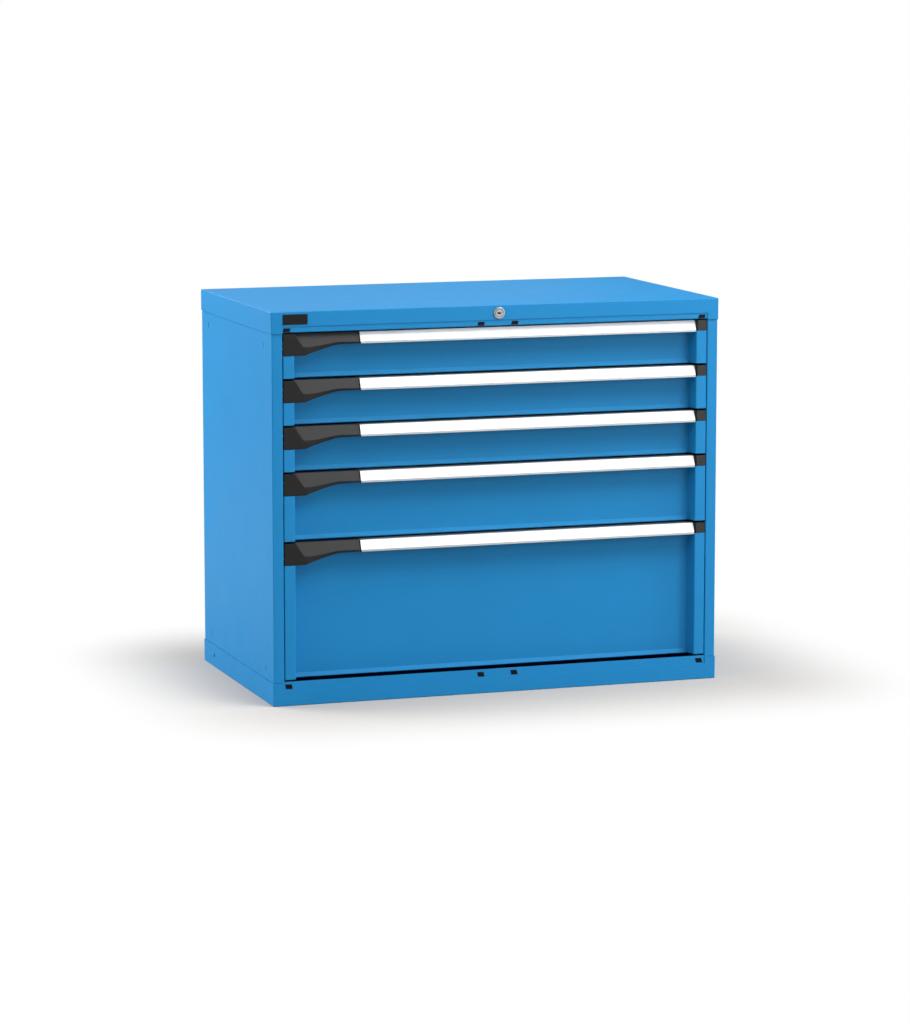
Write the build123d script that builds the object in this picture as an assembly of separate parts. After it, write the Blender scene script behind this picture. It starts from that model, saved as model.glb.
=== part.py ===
from build123d import *
import os

# Steel drawer cabinet with five drawers, millimetres.
# Origin at the centre of the underside, +X to the right, +Y to the back, +Z up; the drawers face -Y.

# Usable space in a drawer and the front heights that share the opening, top drawer first
USABLE_WIDTH = 918.0
USABLE_DEPTH = 459.0
SHALLOW_PITCH = 100.0
MIDDLE_PITCH = 150.0
DEEP_PITCH = 300.0
FRONT_PITCHES = [SHALLOW_PITCH, SHALLOW_PITCH, SHALLOW_PITCH, MIDDLE_PITCH, DEEP_PITCH]
FRONT_GAP = 3.0
TOP_GAP = 1.0
BELOW_OPENING = 53.0
ABOVE_OPENING = 47.0
REAR_SPACE = 69.5

# Sheet metal and folds
SHEET = 1.5
FOLD_RADIUS = 2.0
COVER_FLANGE = 47.0
BASE_FLANGE = 50.0
LIP_CUT_BACK = 15.0
STILE_WIDTH = 24.0
STILE_RETURN = 20.0
REAR_RETURN = 25.0
RAIL_RETURN = 20.0
FIT_GAP = 0.3
OVERCUT = 1.0

# Uprights
UPRIGHT_DEPTH = 15.0
UPRIGHT_WIDTH = 40.0
UPRIGHT_SLOT_PITCH = 50.0
UPRIGHT_SLOT = (5.0, 16.0)

# Runners: a cabinet rail, an I-section middle runner and a drawer rail on each side
RAIL_PLATE = 2.0
RAIL_HEIGHT = 40.0
RAIL_EDGE = 5.0
BEAM_SIDE_GAP = 8.0
BEAM_WIDTH = 20.0
BEAM_HEIGHT = 34.0
BEAM_WALL = 2.0
BEAM_LENGTH = 470.0
DRAWER_RAIL_GAP = 1.0
RUNNER_RISE = 30.0
CABINET_RAIL_LENGTH = 500.0
ROLLER_WIDTH = 8.0
ROLLER_PLAY = 0.3
ROLLER_INSET = 10.0
ROLLER_SPACING = 200.0
ROLLER_CHAMFER = 1.0
ROLLER_PIN_RADIUS = 4.0
RUNNING_CLEARANCE = 0.05
BEAM_FRONT_SETBACK = 5.5

# Drawer front: flush side strips, a recessed panel and a slanted bottom lip
STRIP_SIDE_GAP = 1.5
STRIP_RETURN = 12.0
STRIP_RISE = 2.0
RECESS_DEPTH = 33.0
RECESS_TAPER = 8.0
LIP_SIZE = 9.0
LIP_RETURN = 21.0
PANEL_TOP_DROP = 1.0
BOX_TOP_DROP = 20.0

# Handle profile and its label
HANDLE_HEIGHT = 25.0
HANDLE_LEAN = 10.5
HANDLE_FRONT = 0.5
HANDLE_WALL = 1.8
HANDLE_LEG = 16.0
LABEL_SEAT = 1.2
LABEL_THICKNESS = 1.0
LABEL_TOP_LIP = 0.8
LABEL_BOTTOM_LIP = 4.5
HANDLE_LEFT = 200.0
HANDLE_END_GAP = 3.3
HANDLE_CLEARANCE = 1.0
LABEL_PLAY = 0.1

# End caps and the grip lever
CAP_DEPTH = 22.0
CAP_WALL = 2.5
LEFT_CAP_HEIGHT = 47.0
LEFT_CAP_TOP = 53.0
LEFT_CAP_BEND = (72.0, 31.0)
LEFT_CAP_BOTTOM = 78.4
RIGHT_CAP_WIDTH = 21.2
RIGHT_CAP_HEIGHT = 22.7
SHOULDER_SETBACK = 6.0
CAP_TO_STRIP = 0.3
CAP_SEAT = 4.0
GRIP_END_GAP = 2.7
GRIP_WALL = 3.0
GRIP_BOSS = 12.0
GRIP_BACK = 20.0
GRIP_BAND_LEAN = 3.0
GRIP_EDGE_CUT = 1.25
GRIP_END_RELIEF = 1.5
# Sections along the lever: right of the cap's top corner, depth of the leaning face, rise over the cap's foot
GRIP_OFFSETS = (0.0, 25.6, 37.0, 51.0, 65.5, 94.0, 108.0)
GRIP_FACE_DEPTHS = (28.5, 28.9, 28.5, 27.1, 24.8, 20.7, 20.5)
GRIP_RISES = (0.0, 0.1, 3.6, 8.4, 12.6, 19.6, 20.9)
GRIP_END_FACE_DEPTH = 21.2
GRIP_END_DEPTH = 25.7
PIVOT_BACK = 14.5
PIVOT_DROP = 6.0
PIVOT_RADIUS = 2.5
PIVOT_LENGTH = 6.0
PIVOT_CLEARANCE = 0.1
PIVOT_WALL = 1.0
EAR_SETBACK = 0.5
CATCH_ARM_BACK = (11.0, 15.0)
CATCH_ARM_DROP = (20.0, 32.0)
CATCH_ARM_ROOT = 86.0
CATCH_TRAVEL = 8.0
CATCH_CLEARANCE = 2.0

# Lock in the middle of the cover, cam, cross rod and upright locking bar
LOCK_DROP = 17.5
LOCK_RING_RADIUS = 13.0
LOCK_RING_PROUD = 2.0
LOCK_BODY_RADIUS = 11.0
LOCK_PLUG_RADIUS = 8.5
LOCK_BODY_LENGTH = 21.0
LOCK_CLEARANCE = 0.1
KEYWAY = (8.0, 2.2, 6.0)
CAM_THICKNESS = 3.0
CAM_THROW = 12.0
CAM_PIN_RADIUS = 2.0
CAM_ARM_WIDTH = 9.0
CAM_SLACK = 2.8
PIN_MARGIN = 3.0
ROD_THICKNESS = 3.0
ROD_HEIGHT = 12.0
ROD_DROP = 27.0
ROD_GUIDES = (130.0, 330.0)
ROD_GUIDE_WIDTH = 6.0
ROD_END = 24.0
BAR_THICKNESS = 3.0
BAR_WIDTH = 16.0
BAR_INSET = 9.0
BAR_PIN_INSET = 21.0
BAR_SLIDE_GAP = 0.5
PAWL_REACH = 38.0
PAWL_HEIGHT = 6.0
KEEPER_HEIGHT = 12.0
KEEPER_RISE = 53.0
KEEPER_OVERLAP = 3.0

# Plugs, name plate, marks and holes
PLUG_WIDTH = 17.0
TOP_PLUG_HEIGHT = 8.0
BOTTOM_PLUG_HEIGHT = 10.0
PLUG_PROUD = 0.8
PLUG_RIM = 1.5
PLUG_LEAN = 0.25
TOP_PLUG_DROP = 39.5
BOTTOM_PLUG_RISE = 42.5
PLUG_SIDE_INSET = 37.0
PLUG_CENTRE_OFFSET = 38.5
NAME_PLATE_LEFT = 26.0
NAME_PLATE_SIZE = (55.0, 22.0)
NAME_PLATE_DROP = 6.0
NAME_PLATE_THICKNESS = 1.0
MARK_SIZE = (5.0, 13.0)
MARK_DEPTH = 0.6
MARK_INSET = 62.0
MARK_FROM_END = 75.0
SIDE_HOLE_RADIUS = 4.0
SIDE_HOLE_FROM_BACK = 87.0
SIDE_HOLE_RISE = 26.0
FLOOR_BOLT_RADIUS = 5.5
FLOOR_BOLT_INSET = (80.0, 60.0)

# Places worked out from the sizes above, as distances in from either side of the cabinet
PANEL_INNER = 2 * SHEET
UPRIGHT_FACE = PANEL_INNER + UPRIGHT_DEPTH
RAIL_FACE = UPRIGHT_FACE + RAIL_PLATE
BEAM_OUTER = RAIL_FACE + BEAM_SIDE_GAP
BEAM_INNER = BEAM_OUTER + BEAM_WIDTH
DRAWER_RAIL_OUTER = BEAM_INNER + DRAWER_RAIL_GAP
BOX_OUTER = DRAWER_RAIL_OUTER + RAIL_PLATE
BOX_INNER = BOX_OUTER + SHEET
STILE_EDGE = SHEET + STILE_WIDTH
STRIP_OUTER = STILE_EDGE + STRIP_SIDE_GAP
WIDTH = USABLE_WIDTH + 2 * BOX_INNER

# Depths, measured along Y
DEPTH = 3 * SHEET + RECESS_DEPTH + 3 * SHEET + USABLE_DEPTH + REAR_SPACE + SHEET
COVER_FRONT = -DEPTH / 2
FRONT = COVER_FRONT + SHEET
PANEL_FACE = FRONT + RECESS_DEPTH
BOX_FRONT = PANEL_FACE + SHEET
BOX_BACK = BOX_FRONT + USABLE_DEPTH + 2 * SHEET
REAR_FACE = DEPTH / 2 - SHEET
BACK_PANEL_REAR = REAR_FACE - SHEET
LOCK_BACK = COVER_FRONT + LOCK_BODY_LENGTH
CAM_BACK = LOCK_BACK + CAM_THICKNESS
BAR_BACK = CAM_BACK + BAR_THICKNESS
ROD_FRONT = BAR_BACK + BAR_SLIDE_GAP
ROD_BACK = ROD_FRONT + ROD_THICKNESS
UPRIGHT_FRONT = BAR_BACK + BAR_SLIDE_GAP
KEEPER_FRONT = BAR_BACK + BAR_SLIDE_GAP
BEAM_FRONT = BOX_FRONT + BEAM_FRONT_SETBACK
BEAM_BACK = BEAM_FRONT + BEAM_LENGTH

# Rollers: the cabinet's stand near its front, the drawer's where its rail and the middle runner both end
ROLLER_RADIUS = BEAM_HEIGHT / 2 - BEAM_WALL - ROLLER_PLAY
CABINET_ROLLER = BOX_FRONT + ROLLER_INSET + BEAM_HEIGHT / 2
DRAWER_ROLLER = min(BOX_BACK, BEAM_BACK) - ROLLER_RADIUS

# Heights
HEIGHT = BELOW_OPENING + sum(FRONT_PITCHES) + ABOVE_OPENING
OPENING_TOP = HEIGHT - ABOVE_OPENING
UNDER_COVER = HEIGHT - SHEET
LOCK_Z = HEIGHT - LOCK_DROP
ROD_Z = HEIGHT - ROD_DROP
UPRIGHT_TOP = ROD_Z - ROD_HEIGHT

# The handle's leaning face and its ends
HANDLE_FACE = (HANDLE_LEAN ** 2 + HANDLE_HEIGHT ** 2) ** 0.5
HANDLE_RIGHT = STRIP_OUTER + RIGHT_CAP_WIDTH + HANDLE_END_GAP


def block(x, y, z):
    """A rectangular solid between the given ends along X, Y and Z."""
    centre = Pos((x[0] + x[1]) / 2, (y[0] + y[1]) / 2, (z[0] + z[1]) / 2)
    return centre * Box(x[1] - x[0], y[1] - y[0], z[1] - z[0])


def along_x(points, low, high):
    """A prism along X whose section is given by its (Y, Z) corners."""
    return extrude(Plane.YZ.offset(low) * make_face(Polyline(*points, close=True)), high - low)


def along_y(points, low, high):
    """A prism along Y whose section is given by its (X, Z) corners."""
    return extrude(Plane.XZ.offset(-high) * make_face(Polyline(*points, close=True)), high - low)


def along_z(points, low, high):
    """A prism along Z whose section is given by its (X, Y) corners."""
    return extrude(Plane.XY.offset(low) * make_face(Polyline(*points, close=True)), high - low)


def rod_x(radius, low, high, y, z):
    """A round bar along X."""
    return extrude(Plane.YZ.offset(low) * Pos(y, z) * Circle(radius), high - low)


def rod_y(radius, low, high, x, z):
    """A round bar along Y."""
    return extrude(Plane.XZ.offset(-high) * Pos(x, z) * Circle(radius), high - low)


def folded(path, thickness):
    """The outline of a sheet folded along a path, with the metal on the left of it."""
    points = [Vector(*point) for point in path]
    other_side = []
    for index, point in enumerate(points):
        normals = []
        if index > 0:
            run = (point - points[index - 1]).normalized()
            normals.append(Vector(-run.Y, run.X))
        if index < len(points) - 1:
            run = (points[index + 1] - point).normalized()
            normals.append(Vector(-run.Y, run.X))
        if len(normals) == 2:
            spread = (normals[0] + normals[1]) / (1 + normals[0].dot(normals[1]))
        else:
            spread = normals[0]
        other_side.append(point + spread * thickness)
    return [(p.X, p.Y) for p in points + other_side[::-1]]


def left(inset):
    """The X of a place given by its distance in from the left side."""
    return inset - WIDTH / 2


def mirrored(solid):
    """The same piece on the other side of the cabinet."""
    return mirror(solid, about=Plane.YZ)


def round_upright_edges(solid, corners, radius):
    """Rounds the edges along Z that stand at the given (X, Y) corners."""
    reach = radius / 4
    chosen = [
        edge
        for edge in solid.edges().filter_by(Axis.Z)
        for x, y in corners
        if abs(edge.center().X - x) < reach and abs(edge.center().Y - y) < reach
    ]
    return fillet(chosen, radius)


def tray(height, lip_height, flange):
    """A tray open downwards, its top at the height, with a shallower front flange between the stiles."""
    outer = block((-WIDTH / 2, WIDTH / 2), (-DEPTH / 2, DEPTH / 2), (height - flange, height))
    rounded = outer.edges().filter_by(Axis.Z) + outer.edges().group_by(Axis.Z)[-1]
    outer = fillet(rounded, FOLD_RADIUS)
    inside = block(
        (-WIDTH / 2 + SHEET, WIDTH / 2 - SHEET),
        (-DEPTH / 2 + SHEET, DEPTH / 2 - SHEET),
        (height - flange - OVERCUT, height - SHEET),
    )
    notch = block(
        (left(STILE_EDGE), -left(STILE_EDGE)),
        (-DEPTH / 2 - OVERCUT, -DEPTH / 2 + SHEET + OVERCUT),
        (height - flange - OVERCUT, height - lip_height),
    )
    return outer - inside - notch


def make_top_cover():
    """Folded cover tray, with the hole for the lock body."""
    cover = tray(HEIGHT, COVER_FLANGE - LIP_CUT_BACK, COVER_FLANGE)
    return cover - rod_y(LOCK_BODY_RADIUS, COVER_FRONT - OVERCUT, FRONT + OVERCUT, 0, LOCK_Z)


def make_base_tray():
    """Folded base tray, with floor bolt holes and a small hole in each side flange."""
    base = mirror(tray(0, BASE_FLANGE - LIP_CUT_BACK, BASE_FLANGE), about=Plane.XY)
    bolt_x = WIDTH / 2 - FLOOR_BOLT_INSET[0]
    bolt_y = DEPTH / 2 - FLOOR_BOLT_INSET[1]
    for x in (-bolt_x, bolt_x):
        for y in (-bolt_y, bolt_y):
            base -= Pos(x, y, SHEET / 2) * Cylinder(FLOOR_BOLT_RADIUS, 2 * SHEET)
    hole_y = DEPTH / 2 - SIDE_HOLE_FROM_BACK
    return base - rod_x(SIDE_HOLE_RADIUS, left(-OVERCUT), -left(-OVERCUT), hole_y, SIDE_HOLE_RISE)


def make_side_panel():
    """Left side panel, folded into the front stile and the rear return, with four pressed marks."""
    path = [
        (left(SHEET + REAR_RETURN), REAR_FACE),
        (left(SHEET), REAR_FACE),
        (left(SHEET), FRONT),
        (left(STILE_EDGE), FRONT),
        (left(STILE_EDGE), FRONT + STILE_RETURN),
    ]
    panel = along_z(folded(path, SHEET), SHEET, UNDER_COVER)
    panel = round_upright_edges(panel, [path[1], path[2], path[3]], FOLD_RADIUS)
    hole_y = DEPTH / 2 - SIDE_HOLE_FROM_BACK
    panel -= rod_x(SIDE_HOLE_RADIUS, left(0), left(PANEL_INNER + OVERCUT), hole_y, SIDE_HOLE_RISE)
    mark = extrude(SlotOverall(MARK_SIZE[1], MARK_SIZE[0], rotation=90), MARK_DEPTH)
    for y in (COVER_FRONT + MARK_INSET, DEPTH / 2 - MARK_INSET):
        for z in (MARK_FROM_END, HEIGHT - MARK_FROM_END):
            panel -= Plane.YZ.offset(left(SHEET)) * Pos(y, z) * mark
    return panel


def make_back_panel():
    """Flat back panel, held against the rear returns of the side panels."""
    reach = WIDTH / 2 - PANEL_INNER - FIT_GAP
    return block((-reach, reach), (BACK_PANEL_REAR - SHEET, BACK_PANEL_REAR), (SHEET, UNDER_COVER))


def plug_places():
    """X, Z and height of the eight slanted plugs."""
    across = WIDTH / 2 - PLUG_SIDE_INSET
    places = []
    for x in (-across, -PLUG_CENTRE_OFFSET, PLUG_CENTRE_OFFSET, across):
        places.append((x, HEIGHT - TOP_PLUG_DROP, TOP_PLUG_HEIGHT))
        places.append((x, BOTTOM_PLUG_RISE, BOTTOM_PLUG_HEIGHT))
    return places


def plug_outline(x, z, height, rim):
    """The (X, Z) corners of a slanted plug drawn in by a rim; upper plugs lean right, lower ones left."""
    half_height = height / 2 - rim
    half_width = (PLUG_WIDTH - PLUG_LEAN * height) / 2 - rim
    lean = PLUG_LEAN * half_height if z > HEIGHT / 2 else -PLUG_LEAN * half_height
    return [
        (x - half_width - lean, z - half_height),
        (x + half_width - lean, z - half_height),
        (x + half_width + lean, z + half_height),
        (x - half_width + lean, z + half_height),
    ]


def make_front_rails():
    """Channel above the opening with the cross rod's guides, and angle below it, between the stiles."""
    reach = -left(STILE_EDGE + FIT_GAP)
    top_path = [
        (FRONT + RAIL_RETURN, UNDER_COVER),
        (FRONT, UNDER_COVER),
        (FRONT, OPENING_TOP),
        (FRONT + RAIL_RETURN, OPENING_TOP),
    ]
    bottom_path = [
        (FRONT, BELOW_OPENING),
        (FRONT, SHEET),
        (FRONT + RAIL_RETURN, SHEET),
    ]
    top_rail = along_x(folded(top_path, SHEET), -reach, reach)
    bottom_rail = along_x(folded(bottom_path, SHEET), -reach, reach)
    top_rail -= rod_y(LOCK_BODY_RADIUS, FRONT - OVERCUT, FRONT + SHEET + OVERCUT, 0, LOCK_Z)
    rod_low = ROD_Z - ROD_HEIGHT / 2 - FIT_GAP
    rod_high = ROD_Z + ROD_HEIGHT / 2 + FIT_GAP
    for x in ROD_GUIDES:
        guide_x = (-x - ROD_GUIDE_WIDTH / 2, -x + ROD_GUIDE_WIDTH / 2)
        guide = block(guide_x, (FRONT, ROD_BACK + FIT_GAP + SHEET), (rod_low - SHEET, UNDER_COVER))
        guide -= block((-WIDTH, WIDTH), (ROD_FRONT - FIT_GAP, ROD_BACK + FIT_GAP), (rod_low, rod_high))
        top_rail += guide
    for x, z, height in plug_places():
        hole = along_y(plug_outline(x, z, height, PLUG_RIM), FRONT - OVERCUT, FRONT + SHEET + OVERCUT)
        top_rail -= hole
        bottom_rail -= hole
    return [top_rail, bottom_rail]


def make_hole_plugs():
    """Slanted plugs, each with a flat head and a body pressed into its hole."""
    plugs = []
    for x, z, height in plug_places():
        head = along_y(plug_outline(x, z, height, 0), FRONT - PLUG_PROUD, FRONT)
        body = along_y(plug_outline(x, z, height, PLUG_RIM), FRONT, FRONT + 2 * SHEET)
        plugs.append(head + body)
    return plugs


def make_name_plate():
    """Bare plate on the cover's front flange."""
    top = HEIGHT - NAME_PLATE_DROP
    x = left(NAME_PLATE_LEFT)
    return block(
        (x, x + NAME_PLATE_SIZE[0]),
        (COVER_FRONT - NAME_PLATE_THICKNESS, COVER_FRONT),
        (top - NAME_PLATE_SIZE[1], top),
    )


def make_uprights():
    """Four channel posts with a row of slots, their flanges against the side panels."""
    posts = []
    front_ends = (UPRIGHT_FRONT, BOX_FRONT + CABINET_RAIL_LENGTH - UPRIGHT_WIDTH)
    for front in front_ends:
        path = [
            (left(PANEL_INNER), front + UPRIGHT_WIDTH),
            (left(UPRIGHT_FACE), front + UPRIGHT_WIDTH),
            (left(UPRIGHT_FACE), front),
            (left(PANEL_INNER), front),
        ]
        post = along_z(folded(path[::-1], SHEET), SHEET, UPRIGHT_TOP)
        slot_x = (left(UPRIGHT_FACE - SHEET - OVERCUT), left(UPRIGHT_FACE + OVERCUT))
        middle = front + UPRIGHT_WIDTH / 2
        slot_y = (middle - UPRIGHT_SLOT[0] / 2, middle + UPRIGHT_SLOT[0] / 2)
        slots = []
        z = SHEET + UPRIGHT_SLOT_PITCH
        while z < UPRIGHT_TOP - UPRIGHT_SLOT[1]:
            slots.append(block(slot_x, slot_y, (z - UPRIGHT_SLOT[1] / 2, z + UPRIGHT_SLOT[1] / 2)))
            z += UPRIGHT_SLOT_PITCH
        post -= slots
        posts += [post, mirrored(post)]
    return posts


def make_roller(face, far, y, z):
    """A roller with its bore on a pin along X, between the two given insets from the left side."""
    roller = rod_x(ROLLER_RADIUS, left(face), left(far), y, z)
    roller = chamfer(roller.edges().filter_by(GeomType.CIRCLE), ROLLER_CHAMFER)
    bore_radius = ROLLER_PIN_RADIUS + RUNNING_CLEARANCE
    return roller - rod_x(bore_radius, left(face - OVERCUT), left(far + OVERCUT), y, z)


def make_cabinet_runners(centres):
    """Cabinet rails with their roller pins, and the rollers, for every drawer and both sides."""
    pieces = []
    web_outer = BEAM_OUTER + (BEAM_WIDTH - BEAM_WALL) / 2
    for z in centres:
        low, high = z - RAIL_HEIGHT / 2, z + RAIL_HEIGHT / 2
        path = [
            (left(RAIL_FACE + RAIL_EDGE), low),
            (left(UPRIGHT_FACE), low),
            (left(UPRIGHT_FACE), high),
            (left(RAIL_FACE + RAIL_EDGE), high),
        ]
        rail = along_y(folded(path[::-1], RAIL_PLATE), BOX_FRONT, BOX_FRONT + CABINET_RAIL_LENGTH)
        for y in (CABINET_ROLLER, CABINET_ROLLER + ROLLER_SPACING):
            rail += rod_x(ROLLER_PIN_RADIUS, left(UPRIGHT_FACE), left(web_outer - FIT_GAP), y, z)
            roller = make_roller(web_outer - ROLLER_WIDTH - 2 * FIT_GAP, web_outer - 2 * FIT_GAP, y, z)
            pieces += [roller, mirrored(roller)]
        pieces += [rail, mirrored(rail)]
    return pieces


def make_middle_runners(z):
    """The two I-section runners between the cabinet rails and the rails of one drawer."""
    web_outer = BEAM_OUTER + (BEAM_WIDTH - BEAM_WALL) / 2
    section = block(
        (left(BEAM_OUTER), left(BEAM_INNER)),
        (BEAM_FRONT, BEAM_BACK),
        (z - BEAM_HEIGHT / 2, z + BEAM_HEIGHT / 2),
    )
    for x in ((BEAM_OUTER - OVERCUT, web_outer), (web_outer + BEAM_WALL, BEAM_INNER + OVERCUT)):
        section -= block(
            (left(x[0]), left(x[1])),
            (BEAM_FRONT - OVERCUT, BEAM_BACK + OVERCUT),
            (z - BEAM_HEIGHT / 2 + BEAM_WALL, z + BEAM_HEIGHT / 2 - BEAM_WALL),
        )
    return [section, mirrored(section)]


def make_drawer_runners(z):
    """The two rails on a drawer box with their roller pins, and the rollers."""
    pieces = []
    web_inner = BEAM_OUTER + (BEAM_WIDTH + BEAM_WALL) / 2
    low, high = z - RAIL_HEIGHT / 2, z + RAIL_HEIGHT / 2
    path = [
        (left(DRAWER_RAIL_OUTER - RAIL_EDGE), low),
        (left(BOX_OUTER), low),
        (left(BOX_OUTER), high),
        (left(DRAWER_RAIL_OUTER - RAIL_EDGE), high),
    ]
    rail = along_y(folded(path, RAIL_PLATE), BOX_FRONT, BOX_BACK)
    for y in (DRAWER_ROLLER - ROLLER_SPACING, DRAWER_ROLLER):
        rail += rod_x(ROLLER_PIN_RADIUS, left(web_inner + FIT_GAP), left(BOX_OUTER), y, z)
        roller = make_roller(web_inner + 2 * FIT_GAP, web_inner + 2 * FIT_GAP + ROLLER_WIDTH, y, z)
        pieces += [roller, mirrored(roller)]
    return pieces + [rail, mirrored(rail)]


def make_drawer_box(bottom, top):
    """Open box of one drawer, standing on the return of its front."""
    reach = -left(BOX_OUTER)
    low = bottom + SHEET
    outer = block((-reach, reach), (BOX_FRONT, BOX_BACK), (low, top - BOX_TOP_DROP))
    inside = block(
        (-reach + SHEET, reach - SHEET),
        (BOX_FRONT + SHEET, BOX_BACK - SHEET),
        (low + SHEET, top),
    )
    return outer - inside


def make_drawer_front(bottom, top):
    """Folded front: side strips, tapered recess walls, panel and slanted lip, with the lock's keeper."""
    path = [
        (left(STRIP_OUTER), FRONT + STRIP_RETURN),
        (left(STRIP_OUTER), FRONT),
        (left(BOX_OUTER), FRONT),
        (left(BOX_OUTER + RECESS_TAPER), PANEL_FACE + SHEET / 2),
    ]
    heights = (top - LEFT_CAP_HEIGHT - CAP_TO_STRIP, top - RIGHT_CAP_HEIGHT - CAP_TO_STRIP)
    strips = []
    for height in heights:
        strip = along_z(folded(path, SHEET), bottom + STRIP_RISE, height)
        strips.append(round_upright_edges(strip, [path[1], path[2]], FOLD_RADIUS))
    clear_of_handle = block(
        (left(HANDLE_RIGHT - HANDLE_CLEARANCE), left(BOX_OUTER + 2 * RECESS_TAPER)),
        (FRONT - OVERCUT, PANEL_FACE),
        (top - HANDLE_HEIGHT - HANDLE_CLEARANCE, top + OVERCUT),
    )
    right_strip = mirrored(strips[1] - clear_of_handle)
    panel_path = [
        (PANEL_FACE, top - PANEL_TOP_DROP),
        (PANEL_FACE, bottom + LIP_SIZE),
        (PANEL_FACE - LIP_SIZE, bottom),
        (PANEL_FACE - LIP_SIZE + LIP_RETURN, bottom),
    ]
    reach = -left(BOX_OUTER + RECESS_TAPER * (RECESS_DEPTH - LIP_SIZE) / RECESS_DEPTH - SHEET)
    panel = along_x(folded(panel_path, SHEET), -reach, reach)
    wide = block(
        (left(BOX_OUTER - CAP_SEAT), -left(BOX_OUTER - CAP_SEAT)),
        (PANEL_FACE, BOX_FRONT),
        (bottom + LIP_SIZE, top - PANEL_TOP_DROP),
    )
    keeper = block(
        (left(PAWL_REACH - KEEPER_OVERLAP), left(BOX_OUTER + RECESS_TAPER - SHEET)),
        (KEEPER_FRONT, KEEPER_FRONT + SHEET),
        (bottom + KEEPER_RISE, bottom + KEEPER_RISE + KEEPER_HEIGHT),
    )
    web = block(
        (left(BOX_OUTER), left(BOX_OUTER + RECESS_TAPER - SHEET)),
        (KEEPER_FRONT, PANEL_FACE),
        (bottom + KEEPER_RISE, bottom + KEEPER_RISE + KEEPER_HEIGHT),
    )
    return panel + wide + strips[0] + right_strip + keeper + web


def lean_point(drop, inward):
    """A (Y, Z offset) point of the handle's leaning face, so far below its top and behind the face."""
    face = Vector(-HANDLE_LEAN, -HANDLE_HEIGHT).normalized()
    normal = Vector(-face.Y, face.X)
    start = Vector(FRONT + HANDLE_FRONT + HANDLE_LEAN, 0)
    point = start + face * drop + normal * inward
    return point.X, point.Y


def make_handle(top):
    """Aluminium handle profile: a leaning face with the label's seat, a top web and a leg on the panel."""
    wall = LABEL_SEAT + HANDLE_WALL
    inner_top = lean_point(wall, wall)
    section = [
        (PANEL_FACE, 0),
        (FRONT + HANDLE_FRONT + HANDLE_LEAN, 0),
        lean_point(LABEL_TOP_LIP, 0),
        lean_point(LABEL_TOP_LIP, LABEL_SEAT),
        lean_point(HANDLE_FACE - LABEL_BOTTOM_LIP, LABEL_SEAT),
        lean_point(HANDLE_FACE - LABEL_BOTTOM_LIP, 0),
        lean_point(HANDLE_FACE, 0),
        lean_point(HANDLE_FACE - wall * HANDLE_LEAN / HANDLE_HEIGHT, wall),
        (inner_top[0], -HANDLE_WALL),
        (PANEL_FACE - HANDLE_WALL, -HANDLE_WALL),
        (PANEL_FACE - HANDLE_WALL, -HANDLE_LEG),
        (PANEL_FACE, -HANDLE_LEG),
    ]
    return Pos(0, 0, top) * along_x(section, left(HANDLE_LEFT), -left(HANDLE_RIGHT))


def make_label(top):
    """White label strip in the seat of the handle profile."""
    high = LABEL_TOP_LIP + LABEL_PLAY
    low = HANDLE_FACE - LABEL_BOTTOM_LIP - LABEL_PLAY
    section = [
        lean_point(high, LABEL_SEAT - LABEL_THICKNESS),
        lean_point(low, LABEL_SEAT - LABEL_THICKNESS),
        lean_point(low, LABEL_SEAT),
        lean_point(high, LABEL_SEAT),
    ]
    return Pos(0, 0, top) * along_x(section, left(HANDLE_LEFT), -left(HANDLE_RIGHT))


def cap_boundary(shift):
    """The (X, Z offset) points of the seam between the left cap and the grip lever, from the top."""
    return [
        (left(LEFT_CAP_TOP + shift), 0),
        (left(LEFT_CAP_BEND[0] + shift), -LEFT_CAP_BEND[1]),
        (left(LEFT_CAP_BOTTOM + shift), -LEFT_CAP_HEIGHT),
    ]


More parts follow.
